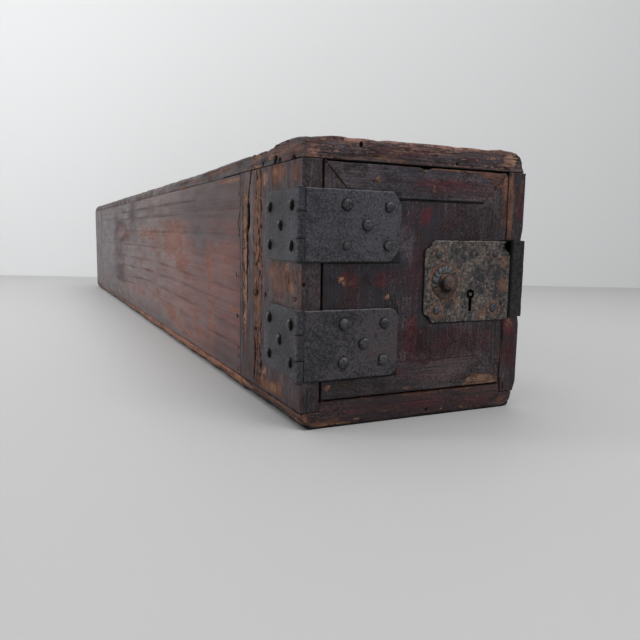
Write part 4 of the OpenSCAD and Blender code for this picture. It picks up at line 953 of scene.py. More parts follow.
def iron_shadows(x, z):
    """Painted shadows on the door along the irons' lower and left edges, and darker where the lock plate's
    corner is torn off.
    """
    def outside(x0, x1, z0, z1):
        return np.hypot(np.maximum(np.maximum(x0 - x, x - x1), 0), np.maximum(np.maximum(z0 - z, z - z1), 0))

    def line(gap, wide):
        return 1 - smooth(gap, 0.5 * wide, 1.5 * wide)

    upper = line(outside(-131, LEAF_IN, UPPER - LEAF, UPPER + LEAF), 1.1) * np.where(z < 165, 0.95, 0.45)
    lower = line(outside(-131, LEAF_IN, LOWER - LEAF, LOWER + LEAF), 1.2)
    lower = lower * np.where((z < 50) | (x > -26), 0.85, 0.4)
    # the plate's left corners are cut off
    cut = (12 - (x - PX0) - np.minimum(z - PZ0, PZ1 - z)) / math.sqrt(2)
    gap = np.maximum(outside(PX0, PX1, PZ0, PZ1), cut)
    plate = line(gap, np.where((x < 16) & (z < 180), 1.7, 1.1))
    plate = plate * np.where((x < 16) | ((z < 102) & (x < 60)), np.where(z > 182, 0.6, 1.0), 0.45)
    plate = np.maximum(plate, (x > 103) * (z > 169) * (z < 187.6))
    return np.maximum(np.maximum(upper, lower), plate)


def door_wear_and_painted_light(s, front, x, z):
    spots(s, front, x, z, [
        ("bare", .80, -91, 148, 4.0, 3.6), ("bare", .62, -87, 145, 6, 4), ("wear", .52, -82, 145, 13, 6),
        ("bare", .60, -38, 130, 4.5, 3.2), ("bare", .62, -52, 246, 4.5, 3.2), ("wear", .60, -53, 246, 7, 4),
        ("wear", .72, -106, 41, 7.5, 4.5), ("bare", .45, -104, 43, 5, 2.5), ("wear", .72, -12, 33, 8, 2.8),
        ("bare", .50, -11, 32, 4, 1.8), ("bare", .46, -14, 127.5, 7, 1.4), ("bare", .46, -4, 128, 4, 1.2),
        ("bare", .46, -18, 44, 7, .9), ("bare", .46, -3, 43.4, 3, .9), ("bare", .5, -17, 159, 5, 2.2),
        ("wear", .4, -20, 158, 14, 4), ("wear", .85, 107, 246, 6, 18), ("wear", .75, 90, 256, 22, 4.5),
        ("bare", .5, 99, 246, 4, 3), ("wear", .6, 98, 250, 12, 8), ("bare", .5, 86, 233, 5, 1.0),
        ("bare", .5, 93, 240, 2.6, 1.2), ("bare", .48, 3, 258, 6, 3.2), ("wear", 1.0, 50, 259.2, 62, 1.7),
        ("wear", .5, -104, 257, 9, 4.5), ("bare", .56, -106, 257.5, 6, 2.4), ("wear", .3, 82, 63, 14, 1.0),
        ("wear", .3, 68, 50, 14, 2), ("wear", .4, 104, 225, 6, 34), ("wear", .4, 108, 60, 3, 30),
        ("wear", .42, 82, 205, 5, 12), ("bare", .4, 56, 204, 3, 7), ("bare", .44, 14, 243, 1.0, 15),
        ("bare", .42, 17, 200, 1.0, 26), ("bare", .4, 46, 248, 1.0, 8), ("wear", .38, -2, 100, 3, 12),
        ("wear", .4, -60, 155, 5, 3), ("wear", .35, -97, 140, 3, 6), ("red", .60, 4, 212, 9, 15),
        ("red", .34, -12, 204, 12, 26), ("red", .70, -8, 84, 10, 25), ("red", .56, 42, 82, 32, 16),
        ("red", .50, 78, 79, 24, 15), ("red", .56, -48, 147, 9, 13), ("red", .56, -79, 144, 14, 13),
        ("red", .50, 24, 241, 44, 12), ("red", .42, 72, 238, 34, 8), ("red", .30, 36, 212, 22, 18),
        ("red", .22, 98, 212, 14, 14), ("red", .34, 0, 160, 24, 34), ("red", .30, -24, 150, 20, 12),
        ("red", .32, 20, 44, 44, 8), ("red", .34, -20, 52, 20, 8), ("red", .38, 24, 72, 84, 26),
        ("red", .26, -80, 110, 30, 70), ("red", .26, 50, 252, 60, 8), ("red", .24, -10, 120, 20, 110),
        ("red", .22, 20, 200, 100, 28), ("dark", .46, 80, 206, 44, 30), ("dark", .26, -66, 140, 50, 26),
        ("dark", .5, 50, 78, 90, 24), ("dark", .16, 80, 48, 40, 12), ("dark", .22, -50, 48, 60, 18),
        ("dark", .18, 90, 150, 30, 60), ("dark", .15, -60, 246, 30, 14), ("dark", .22, -98, 90, 14, 70),
        # The dust spots here paint a sheen on the lacquer.
        ("dust_and_sheen", .26, -12, 222, 16, 14), ("dust_and_sheen", .48, -18, 182, 12, 26), ("dust_and_sheen", .36, -16, 118, 8, 30),
        ("dust_and_sheen", .45, 44, 98.5, 50, 2.2), ("dust_and_sheen", .4, -18, 66, 10, 20), ("dust_and_sheen", .35, 40, 252, 60, 5),
        ("dust_and_sheen", .36, -80, 246, 26, 9), ("dust_and_sheen", .3, -50, 240, 26, 10), ("dust_and_sheen", .3, 104, 232, 5, 24),
        ("bare", .5, 90, 77.5, 2.4, 2), ("bare", .5, 4, 92, 1.2, 4), ("bare", .45, 75, 63, 12, .9),
        ("bare", .45, 62, 51, 10, 1.0), ("bare", .45, 104, 207, 1.5, 6), ("wear", .55, 20, 233, 40, 1.2),
        ("bare", .45, -10, 151, 8, 1.0)])
    # Painted shadows of the irons on the door.
    s.mark("dark", front * iron_shadows(x, z))


def tan_patch(s, front, x, z):
    """Where the lacquer has gone from the lower rail's right end."""
    top = np.interp(x, [60, 63, 70, 82, 98, 110], [28, 33, 42, 40.5, 40, 37.5])
    top = top + 0.8 * fbm(s.base, (6, 50, 6), 5, 3)
    inside = smooth(top - z, -0.4, 1.0) * smooth(x, 59, 63) * (x < 109.5)
    s.mark("wear", front * 1.5 * inside)
    return front * 0.5 * inside


def door_relief(s, front, grain, seed):
    gap = s.edge
    s.edge = gap / np.clip(1.6 * rubbed(s), 0.02, 1)        # a joint that doesn't show isn't worn either
    depth = rough_wood(s, grain, seed, 0.22, 0.45, 2.0)
    s.edge = gap
    return depth + np.where(front, rubbed(s) * (1 - smooth(s.edge, 0.0, 0.9)), 0)


def rubbed(s):
    """How far a joint's edges are rubbed back: the joints that still show, and the door's own outline."""
    x, z = s.base[:, 0], s.base[:, 2]
    outline = np.minimum(np.minimum(DX - np.abs(x), z - DZ0), DZ1 - z) < 1.0
    upper = z > DZ1 - RAIL - 4
    left_mitre = upper & (x < -77)
    joint = upper & (x > -40) & (x < 78)
    low_joint = ~upper & (np.abs(x) < 78)
    return np.select([outline, left_mitre, joint, upper, low_joint], [0.8, 0.12, 0.8, 0.10, 0.07], 0.0)


def seam_dirt(s):
    """How black a joint's gap is; the left mitre shows as a thin dark line."""
    worn = rubbed(s)
    worn = np.where(worn == 0.12, 0.7, worn)
    return worn * (1 - smooth(s.edge, 0.05, 0.6)) * (DX - np.abs(s.base[:, 0]) > 1.0)


def corner_round(s):
    """The door's upper right corner is worn round, and its lock edge is bevelled."""
    u, v = DX - s.q[:, 0], DZ1 - s.q[:, 2]
    r = 7.0
    du, dv = r - u, r - v
    ln = np.hypot(du, dv)
    out = (du > 0) & (dv > 0) & (ln > r)
    s.q[out, 0] = DX - r + du[out] * r / ln[out]
    s.q[out, 2] = DZ1 - r + dv[out] * r / ln[out]
    deep = np.clip((s.base[:, 1] - DY0) / (DY1 - DY0), 0, 1)
    s.q[:, 0] -= 1.6 * deep * smooth(s.base[:, 0], 100, DX)


def door_panel():
    zc0, zc1 = DZ0 + RAIL, DZ1 - RAIL

    def clip(ax):
        grow = np.maximum(ax - RING, 0)
        return zc0 - grow, zc1 + grow

    s = door_slab(DZ0, DZ1, clip, 1.25, (44.57, 44.6, 87.27, 87.3),
                  (zc0, zc0 + 0.5, zc1 - 0.5, zc1, 107.67, 107.7, 142.17, 142.2, 167.8, 167.83))
    x, y, z = s.base.T
    front = s.on(1, -1)
    door_wear_and_painted_light(s, front, x, z)
    s.mark("dark", front * seam_dirt(s))
    s.push(door_relief(s, front, 2, 101))
    # the pocket for the lock case: the face and the lips sink to its floor
    pocket = (x > 44.58) & (z < 167.81) & (((x < 87.29) & (z > 107.68)) | (z > 142.18))
    floor = DY0 + 12.3
    s.q[pocket & (front | (s.on(0, 1) & (y < floor))), 1] = floor
    corner_round(s)
    s.finish("door_panel", "door_wood", "panel")


def door_rail(node, upper):
    z_in = DZ1 - RAIL + 0.2 if upper else DZ0 + RAIL - 0.01
    lo, hi = (z_in, DZ1) if upper else (DZ0, z_in)

    def clip(ax):
        grow = np.maximum(ax - RING + (0.2 if upper else 0.01), 0)
        return (lo + grow, hi) if upper else (lo, hi - grow)

    s = door_slab(lo, hi, clip, 1.2)
    x, _, z = s.base.T
    front = s.on(1, -1)
    door_wear_and_painted_light(s, front, x, z)
    depth = door_relief(s, front, 0, 111 if upper else 112)
    if not upper:
        depth = depth + tan_patch(s, front, x, z)
        depth = depth + dimples(s, front, x, z, [(-109, 34.5, 2.4, 4), (-100, 52, .8, 1)])
    bite = blob(x, z, 3, 261, 6.5, 4.0, 9, .25) * upper
    s.mark("dark", front * seam_dirt(s) * (1 - smooth(bite, 0, 0.3)))
    s.push(depth)
    if upper:
        s.q[:, 2] -= 1.1 * bite * (z > DZ1 - 6)
        s.q[:, 1] += front * 1.6 * bite
        s.mark("bare", 0.9 * front * bite)
        corner_round(s)
    s.finish(node, "door_wood", "rail" if upper else "low_rail")


top_board()
bottom_board()
stile("left_front_stile", -1, -1)
stile("right_front_stile", 1, -1)
stile("left_rear_stile", -1, 1)
stile("right_rear_stile", 1, 1)
side_plank("left_side_plank", -1)
side_plank("right_side_plank", 1)
back_board()
door_panel()
door_rail("door_top_rail", True)
door_rail("door_bottom_rail", False)

# ---- ironwork ------------------------------------------------------------------


def trace(corners, step=1.3):
    """A closed outline. A corner (u, v, r) is rounded by r; straight runs are cut into short ones."""
    pts = []
    for i, c in enumerate(corners):
        p = np.array(c[:2], float)
        r = c[2] if len(c) > 2 else 0
        if not r:
            pts.append(p)
            continue
        a = np.array(corners[i - 1][:2]) - p
        b = np.array(corners[(i + 1) % len(corners)][:2]) - p
        a, b = a / np.linalg.norm(a), b / np.linalg.norm(b)
        half = math.acos(np.clip(a @ b, -1, 1)) / 2
        centre = p + (a + b) / np.linalg.norm(a + b) * r / math.sin(half)
        v0, v1 = p + a * r / math.tan(half) - centre, p + b * r / math.tan(half) - centre
        turn = math.pi - 2 * half
        n = max(2, int(turn * r / step) + 1)
        for j in range(n + 1):
            s = j / n
            pts.append(centre + (math.sin((1 - s) * turn) * v0 + math.sin(s * turn) * v1) / math.sin(turn))
    out = []
    for p, q in zip(pts, pts[1:] + pts[:1]):
        n = max(1, math.ceil(np.linalg.norm(q - p) / step))
        out += [p + (q - p) * j / n for j in range(n)]
    return np.array(out)


def circle(u, v, r, n=20):
    a = np.linspace(0, 2 * math.pi, n, endpoint=False)
    return np.c_[u + r * np.cos(a), v + r * np.sin(a)]


def ring_normals(ring):
    """Outward normals of a ring that runs anticlockwise."""
    d = np.roll(ring, -1, 0) - np.roll(ring, 1, 0)
    n = np.c_[d[:, 1], -d[:, 0]]
    return n / np.maximum(np.linalg.norm(n, axis=1), 1e-9)[:, None]


def inside(pts, ring):
    x, y = pts[:, 0][:, None], pts[:, 1][:, None]
    x0, y0 = ring.T
    x1, y1 = np.roll(ring, -1, 0).T
    cross = (y0 > y) != (y1 > y)
    at = x0 + (y - y0) / np.where(y1 == y0, 1e-12, y1 - y0) * (x1 - x0)
    return (np.sum(cross & (x < at), axis=1) % 2) == 1


def within(pts, rings):
    """Inside the first ring and outside the others."""
    ok = inside(pts, rings[0])
    for r in rings[1:]:
        ok &= ~inside(pts, r)
    return ok


def gap_to(pts, rings):
    """Distance from each point to the nearest ring."""
    best = np.full(len(pts), 1e9)
    for ring in rings:
        a, d = ring, np.roll(ring, -1, 0) - ring
        for k in range(0, len(pts), 4000):
            p = pts[k:k + 4000]
            w = p[:, None] - a[None]
            t = np.clip(np.sum(w * d, 2) / np.maximum(np.sum(d * d, 1), 1e-12), 0, 1)
            best[k:k + 4000] = np.minimum(best[k:k + 4000], np.linalg.norm(w - t[..., None] * d, axis=2).min(1))
    return best


def area(ring):
    x, y = ring.T
    return 0.5 * np.sum(x * np.roll(y, -1) - y * np.roll(x, -1))


def iron_sheet(outline, holes, thick, place, seed, step=1.7, bevel=0.6, waver=0.3, hammer=0.16, relief=None):
    """A hammered sheet: points, faces and marks. place(points) sets (u, v, height above its back) in space."""
    rings = []
    for k, ring in enumerate([outline] + list(holes)):
        ring = ring if area(ring) > 0 else ring[::-1]
        p = np.c_[ring, np.full(len(ring), 11.0 * k)]
        shift = waver * fbm(p, (9, 9, 9), seed + k, 3) * (1 if k == 0 else 0.5)
        rings.append(ring + ring_normals(ring) * shift[:, None])
    ridges = [r - ring_normals(r) * bevel * (1 if k == 0 else -1) for k, r in enumerate(rings)]
    lo, hi = rings[0].min(0), rings[0].max(0)
    rng = np.random.default_rng(seed)
    us, vs = np.arange(lo[0], hi[0], step), np.arange(lo[1], hi[1], step)
    grid = np.stack(np.meshgrid(us, vs), -1).reshape(-1, 2)
    grid = grid + rng.uniform(-0.22, 0.22, grid.shape) * step
    keep = within(grid, rings) & (gap_to(grid, rings) > bevel + 0.45 * step)
    flat = np.concatenate(rings + ridges + [grid[keep]])
    links, at = [], 0
    for r in rings + ridges:
        n = len(r)
        links += [(at + i, at + (i + 1) % n) for i in range(n)]
        at += n
    pts2, _, tris, *_ = delaunay_2d_cdt([tuple(p) for p in flat], links, [], 0, 1e-7, False)
    pts2 = np.array([tuple(p) for p in pts2])
    tris = np.array([t for t in tris if len(t) == 3])
    tris = tris[within(pts2[tris].mean(1), rings)]
    t2 = pts2[tris]
    flip = np.cross(t2[:, 1] - t2[:, 0], t2[:, 2] - t2[:, 0]) < 0
    tris[flip] = tris[flip][:, ::-1]
    gap = gap_to(pts2, rings)
    p3 = np.c_[pts2, np.full(len(pts2), seed * 5.0)]
    w = thick - bevel * (1 - np.sqrt(np.clip(1 - (1 - np.clip(gap / bevel, 0, 1)) ** 2, 0, 1)))
    body = smooth(gap, 0, 2 * bevel)
    w = w + hammer * body * (fbm(p3, (8, 8, 8), seed + 40, 2) + 0.7 * fbm(p3, (2.8, 2.8, 9), seed + 50, 2))
    w = w + 0.12 * fbm(p3, (40, 40, 9), seed + 60, 2)
    marks = {"wear": 0.62 * np.exp(-gap / 0.8) * (0.75 + 0.5 * fbm(p3, (12, 12, 9), seed + 70, 2))}
    if relief is not None:
        extra, more = relief(pts2)
        w = w + extra
        for k, v in more.items():
            marks[k] = np.maximum(marks.get(k, 0), v)
    n = len(pts2)
    edges = {}
    for a, b, c in tris:
        for e in ((a, b), (b, c), (c, a)):
            edges[e] = edges.get(e, 0) + 1
    rim = [e for e in edges if (e[1], e[0]) not in edges]
    top = place(np.c_[pts2, w])
    base = place(np.c_[pts2, np.zeros(n)])
    faces = [tuple(t) for t in tris] + [(c + n, b + n, a + n) for a, b, c in tris]
    faces += [(b, a, a + n, b + n) for a, b in rim]
    marks = {k: np.r_[v, np.zeros(n)] for k, v in marks.items()}
    return np.concatenate([top, base]), faces, marks


def polar_faces(rows, n):
    return [(i * n + j, i * n + (j + 1) % n, (i + 1) * n + (j + 1) % n, (i + 1) * n + j)
            for i in range(rows - 1) for j in range(n)]


def tube(points, radii, n):
    """A lathed solid along z: points are heights, radii the profile; both ends are closed."""
    a = np.linspace(0, 2 * math.pi, n, endpoint=False)
    pts = [(r * math.cos(t), r * math.sin(t), z) for z, r in zip(points, radii) for t in a]
    m = len(points)
    return np.array(pts), polar_faces(m, n) + [tuple(range(n))[::-1], tuple(range((m - 1) * n, m * n))]


class Heap:
    """Gathers several closed shells into one piece."""

    def __init__(self):
        self.pts, self.faces, self.marks, self.n = [], [], {m: [] for m in MARKS}, 0

    def add(self, pts, faces, marks):
        self.pts.append(pts)
        self.faces += [tuple(i + self.n for i in f) for f in faces]
        for m in MARKS:
            self.marks[m].append(marks.get(m, np.zeros(len(pts))))
        self.n += len(pts)

    def finish(self, node, made, slot, look):
        """Puts the shells in the node's place."""
        marks = {m: np.concatenate(v) for m, v in self.marks.items()}
        piece = mesh_piece(f"{node}_{made}", np.concatenate(self.pts), self.faces, MAT[look], marks)
        stand_for(piece, node)


def hammered_head(r, h, seed, shank=1.7, length=14.0, sunk=0.25, shaded_side=0.0):
    """A hand-forged nail along +z, its seat at z = 0. Its last argument paints shade on the side that faces
    local -x.
    """
    n = 22
    rho = np.array([0.02, .22, .42, .6, .75, .87, .95, 1.0])[:, None]
    t = np.linspace(0, 2 * math.pi, n, endpoint=False)[None]
    ring = np.c_[2 * np.cos(t[0]), 2 * np.sin(t[0]), np.full(n, seed * 3.7)]
    rr = r * rho * (1 + 0.15 * fbm(ring, 2.2, seed, 2))[None]
    q = np.stack([rr * np.cos(t), rr * np.sin(t), np.full(rr.shape, seed * 5.1)], -1).reshape(-1, 3)
    z = h * (1 - rho ** 3.2) ** 0.75 + 0.20 * h * fbm(q, 3.0, seed + 5, 2).reshape(rr.shape) * (1 - rho ** 6)
    z = z + 0.10 * h * np.cos(t - seed * 2.1) * rho * (rho < 0.97)
    head = np.stack([rr * np.cos(t), rr * np.sin(t), z], -1).reshape(-1, 3)
    low = [np.c_[a * np.cos(t[0]), a * np.sin(t[0]), np.full(n, b)]
           for a, b in ((r * 0.98, -sunk), (shank, -sunk), (shank, -length + 3), (shank * 0.35, -length))]
    pts = np.concatenate([head, *low])
    rows = len(rho) + len(low)
    faces = [f[::-1] for f in polar_faces(rows, n)]
    faces += [tuple(range((rows - 1) * n, rows * n)), tuple(range(n))[::-1]]
    wear, dark = np.zeros(len(pts)), np.zeros(len(pts))
    # Painted light from above: a painted highlight on the head's upper rim over some wear, painted shade round
    # its edge and under it, on its lower left and, with the last argument, on the side facing local -x.
    lit = np.clip(np.cos(t - math.radians(80)), 0, 1) * (rho > 0.5) * (rho < 0.97)
    wear[:len(head)] = (0.30 + 0.35 * lit + 0 * rr).ravel()
    dark[5 * n:6 * n], dark[6 * n:9 * n] = 0.35, 0.92
    side_shade = 0.95 * smooth(-np.cos(t) * rho, 0.32, 0.66) * shaded_side
    side_shade = side_shade + 0.45 * smooth(np.cos(t - math.radians(225)) * rho, 0.6, 0.95)
    dark[:len(head)] = np.maximum(dark[:len(head)], side_shade.ravel())
    return pts, faces, {"wear": wear, "dark": dark}


def nail_set(node, slot, look, places, turn, r, h, seed, length=14.0, shank=1.7, shaded_side=0.0):
    """places lists (u, v, base, size) and turn(points) sets +z outwards."""
    heap = Heap()
    for k, (u, v, base, size) in enumerate(places):
        size_h = h * (0.6 + 0.4 * size)
        pts, faces, marks = hammered_head(r * size, size_h, seed + 7 * k, shank, length, shaded_side=shaded_side)
        heap.add(turn(pts + np.array([u, v, base])), faces, marks)
    heap.finish(node, "forged", slot, look)


def to_front(p):
    """(x, z, height above the door's face) to the chest's frame."""
    return np.c_[p[:, 0], DY0 - p[:, 2], p[:, 1]]


def to_left(p):
    return np.c_[-WALL_OUT - p[:, 2], p[:, 0], p[:, 1]]


def to_right(p):
    return np.c_[WALL_OUT + p[:, 2], p[:, 0], p[:, 1]]


def knuckle(heap, z0, z1, seed, side):
    """A rolled knuckle with its pin hole, and the strip that joins it to its leaf."""
    n = 28
    zs = np.r_[z0, z0 + 0.4, np.linspace(z0, z1, max(4, int((z1 - z0) / 2)))[1:-1], z1 - 0.4, z1]
    t, zz = np.meshgrid(np.linspace(0, 2 * math.pi, n, endpoint=False), zs)
    end = (zz == z0) | (zz == z1)
    close = (zz < z0 + 0.5) | (zz > z1 - 0.5)
    q = np.c_[3 * np.cos(t.ravel()), 3 * np.sin(t.ravel()), zz.ravel()]
    r = 4.33 - 0.35 * end + 0.10 * fbm(q, (3, 3, 6), seed, 2).reshape(t.shape)
    skin = np.c_[(AXIS[0] + r * np.cos(t)).ravel(), (AXIS[1] + r * np.sin(t)).ravel(), zz.ravel()]
    bore = [np.c_[AXIS[0] + 2.36 * np.cos(t[0]), AXIS[1] + 2.36 * np.sin(t[0]), np.full(n, z)]
            for z in (z1 - 0.05, z0 + 0.05)]
    m = len(zs)
    pts = np.concatenate([skin, *bore])
    # Painted light: a painted highlight down one side of the knuckle, painted shade round the rest, in the pin
    # hole, and black painted shade on its ends, in the gaps between knuckles.
    rim = np.clip(np.cos(t - math.radians(200)), 0, 1) ** 6
    wear = np.r_[np.where(end, 0.0, 0.10 + 0.45 * rim).ravel(), np.zeros(2 * n)]
    dark = np.r_[np.where(end, 0.95, np.where(close, 0.4, 0.34 - 0.34 * rim)).ravel(), np.full(2 * n, 0.5)]
    faces = polar_faces(m + 2, n)
    faces += [((m + 1) * n + j, (m + 1) * n + (j + 1) % n, (j + 1) % n, j) for j in range(n)]
    heap.add(pts, faces, {"wear": wear, "dark": dark})
    # the strip
    along, far = (AXIS[0], (-131.5, -129.8)) if side == "front" else (AXIS[1], (-908.5, -906.8))
    us = (along + 2.9, along + 4.2, *far)
    ring = list(zip(us, (1.0, 1.95, 2.0, 1.95))) + [(u, 0.05) for u in us[::-1]]
    sect = [(u, DY0 - w) if side == "front" else (-WALL_OUT - w, u) for u, w in ring]
    k = len(sect)
    pts = np.array([(x, y, z) for z in (z0 + 0.1, z1 - 0.1) for x, y in sect])
    faces = [(j, (j + 1) % k, k + (j + 1) % k, k + j) for j in range(k)]
    faces += [tuple(range(k))[::-1], tuple(range(k, 2 * k))]
    heap.add(pts, faces, {"wear": np.full(len(pts), 0.1), "dark": np.full(len(pts), 0.3)})


def dents(rows, zc):
    """Relief from small round marks: (u, v, radius, depth), depth below zero raises a bump."""
    def relief(p):
        total = np.zeros(len(p))
        above, below = zc + LEAF - p[:, 1], p[:, 1] - zc + LEAF         # to the leaf's upper and lower edge
        # Painted highlight along the leaf's upper edge, worn bumps lighter; painted shade in the gap beside the
        # knuckles and along the lower edge.
        edge_highlight_and_wear = 0.75 * (1 - smooth(above, 0.9, 1.6))
        dirt_and_shade = np.maximum(0.95 * (1 - smooth(p[:, 0], -131.3, -130.4)) * (np.abs(p[:, 1] - zc) > 12.2),
                          0.6 * (1 - smooth(below, 0.9, 1.7)))
        for u, v, r, d in rows:
            k = np.exp(-((p[:, 0] - u) ** 2 + (p[:, 1] - v) ** 2) / (r * r))
            total -= d * k
            edge_highlight_and_wear = np.maximum(edge_highlight_and_wear, 0.4 * k * (d < 0))
        return total, {"wear": edge_highlight_and_wear, "dark": dirt_and_shade}
    return relief


def front_leaf(node, zc, corner_r, seed, marks):
    """corner_r rounds the free corners; without it they are cut off."""
    x0, x1, z0, z1, c = -131.5, LEAF_IN, zc - LEAF, zc + LEAF, 12
    if corner_r:
        free = [(x1, z0, corner_r), (x1, z1, corner_r)]
    else:
        free = [(x1 - c, z0, 3), (x1, z0 + c, 4), (x1, z1 - c, 5), (x1 - c * 0.8, z1, 5)]
    heap = Heap()
    heap.add(*iron_sheet(trace([(x0, z0), *free, (x0, z1)]), [], 2.0, to_front, seed, relief=dents(marks, zc)))
    knuckle(heap, zc - 12.5, zc + 12.5, seed, "front")
    heap.finish(node, "forged", "hinge_iron", "low_hinge" if corner_r else "hinge")


def side_leaf(node, zc, seed):
    y0, y1, z0, z1, c = -908.5, -813.5, zc - LEAF, zc + LEAF, 10
    shape = [(y0, z0), (y1 - c, z0, 3), (y1, z0 + c, 3), (y1, z1 - c, 3), (y1 - c, z1, 3), (y0, z1)]
    heap = Heap()
    heap.add(*iron_sheet(trace(shape, 1.6)[::-1], [], 2.0, to_left, seed, step=2.2))
    knuckle(heap, z0, zc - 12.8, seed + 1, "side")
    knuckle(heap, zc + 12.8, z1, seed + 2, "side")
    heap.finish(node, "forged", "hinge_iron", "hinge")


def hinge_pin(node, zc):
    zs = [-36.4, -36.2, -35.7, -35.1, -35.05, 35.05, 35.1, 35.7, 36.2, 36.4]
    rs = [0.8, 2.2, 3.0, 3.3, 2.3, 2.3, 3.3, 3.0, 2.2, 0.8]
    pts, faces = tube(zs, rs, 24)
    pts = pts + np.array([*AXIS, zc])
    ends = np.abs(pts[:, 2] - zc) > LEAF + 0.06
    pts[:, :2] += 0.12 * np.c_[noise(pts, 1.7, 3), noise(pts, 1.7, 4)] * ends[:, None]
    heap = Heap()
    heap.add(pts, faces, {"wear": np.full(len(pts), 0.35)})
    heap.finish(node, "peened", "pin_iron", "pin")


front_leaf("upper_front_leaf", UPPER, 0, 201, [
    (-111, 228, 3.0, -0.5), (-80, 192, 4, 0.15), (-98, 207, 6, 0.15), (-120, 185, 5, 0.2),
    (-55, 190, 4, 0.15)])
front_leaf("lower_front_leaf", LOWER, 11, 202, [(-104, 83, 6, 0.15), (-114, 98, 4, 0.15), (-60, 100, 5, 0.15)])
side_leaf("upper_side_leaf", UPPER, 203)
side_leaf("lower_side_leaf", LOWER, 205)
hinge_pin("upper_hinge_pin", UPPER)
hinge_pin("lower_hinge_pin", LOWER)
nail_set("upper_front_nails", "nail_iron", "nail",
         [(-87, 220, 1.9, 1.2), (-40, 219, 1.9, 1.12), (-64.5, 201, 1.9, 1.22), (-87, 180.5, 1.7, .86),
          (-40, 181, 1.9, 1.06)], to_front, 5.1, 3.3, 210)
nail_set("lower_front_nails", "nail_iron", "nail",
         [(-88, 104.5, 1.9, 1.1), (-42, 103.5, 1.9, 1.1), (-65, 83.8, 1.9, 1.18), (-88, 65.5, 1.9, 1.14),
          (-43, 65.5, 1.9, 1.16)], to_front, 5.5, 3.3, 230)
for side_node, zc, seed in (("upper_side_nails", UPPER, 250), ("lower_side_nails", LOWER, 270)):
    nail_set(side_node, "nail_iron", "nail", [(-888.5, zc - 19.5, 1.9, 1), (-888.5, zc + 19.5, 1.9, 1.08),
             (-859, zc, 1.9, 1.02), (-829.5, zc - 19.5, 1.9, .95), (-829.5, zc + 19.5, 1.9, 1.05)], to_left,
             5.6, 3.4, seed, shaded_side=1.0)


def lock_plate():
    step_in = [(12, 0), (8.6, 2.4), (7.4, 5.5), (5.5, 7.4), (2.4, 8.6), (0, 12)]
    low = [(PX0 + a, PZ0 + b) for a, b in step_in[::-1]]
    high = [(PX0 + a, PZ1 - b) for a, b in step_in]
    torn = [(PX1 - a, PZ1 - b) for a, b in (
        (0, 15.5), (2.2, 14.6), (2.0, 11.6), (5.2, 11.2), (6.0, 9.4), (9.4, 10.2), (8.4, 7.8), (12.4, 7.2),
        (9.6, 5.8), (9.2, 4.4), (12.0, 3.2), (8.6, 2.2), (7.2, 1.2), (7.6, 0))]
    shape = low + [(PX1 - 1, PZ0), (PX1, PZ0 + 2)] + torn + high
    slot = [(65 + 5.2 * math.cos(t), 130 + 5.2 * math.sin(t))
            for t in np.linspace(-math.radians(66), math.radians(246), 22)]
    slot += [(62.9, 124), (62.95, 118), (62.6, 111.6), (65.2, 111.4), (67.2, 111.7), (67.0, 118), (67.1, 124)]
    holes = [np.array(slot), circle(106.8, 118.2, 1.3, 12)]

    def crust(p):
        q = np.c_[p, np.zeros(len(p))]
        lump = 0.16 * fbm(q, (3.4, 3.4, 9), 301, 3)
        # a raised, lighter border along the left and upper edges, with a painted highlight
        edge = np.minimum(p[:, 0] - PX0, PZ1 - p[:, 1])
        lip = 1 - smooth(edge, 1.2, 2.2)
        from_pull = np.hypot(p[:, 0] - PULL[0], p[:, 1] - PULL[1])
        red = 0.75 * np.exp(-((from_pull - 18) / 4.5) ** 2)
        for u, v, r in ((21.5, 173.5, 11), (21.5, 114.5, 12), (96.3, 173.5, 10), (96.3, 114.5, 12),
                        (108, 165, 8), (110, 140, 10), (48, 122, 7), (80, 108, 10), (50, 145, 6)):
            red = np.maximum(red, 0.85 * np.exp(-((p[:, 0] - u) ** 2 + (p[:, 1] - v) ** 2) / (r * r)))
        # Painted shadow of the washer's rim on its left, painted shade along the gap at the plate's right edge,
        # and darker below the washer.
        dirt_and_shade = 0.55 * np.exp(-((from_pull - 17.2) / 0.9) ** 2) * (p[:, 0] < 36)
        dirt_and_shade = np.maximum(dirt_and_shade, 0.9 * smooth(p[:, 0], PX1 - 1.8, PX1 - 0.6))
        dirt_and_shade = np.maximum(dirt_and_shade, 0.4 * blob(p[:, 0], p[:, 1], 37, 125, 9, 7, 8, .5))
        # Painted highlight on the border, brighter along the upper edge.
        pale = np.where(p[:, 1] > PZ1 - 4, 0.72, 0.36) * (0.8 + 0.6 * fbm(q, (7, 7, 9), 303, 2))
        return lump + 0.3 * lip, {"wear": pale * lip, "red": red, "dark": dirt_and_shade}

    heap = Heap()
    heap.add(*iron_sheet(trace(shape, 1.1), holes, 1.8, to_front, 300, step=1.4, bevel=0.45, waver=0.45,
                         hammer=0.12, relief=crust))
    heap.finish("lock_plate", "rusted", "rusty_iron", "plate")


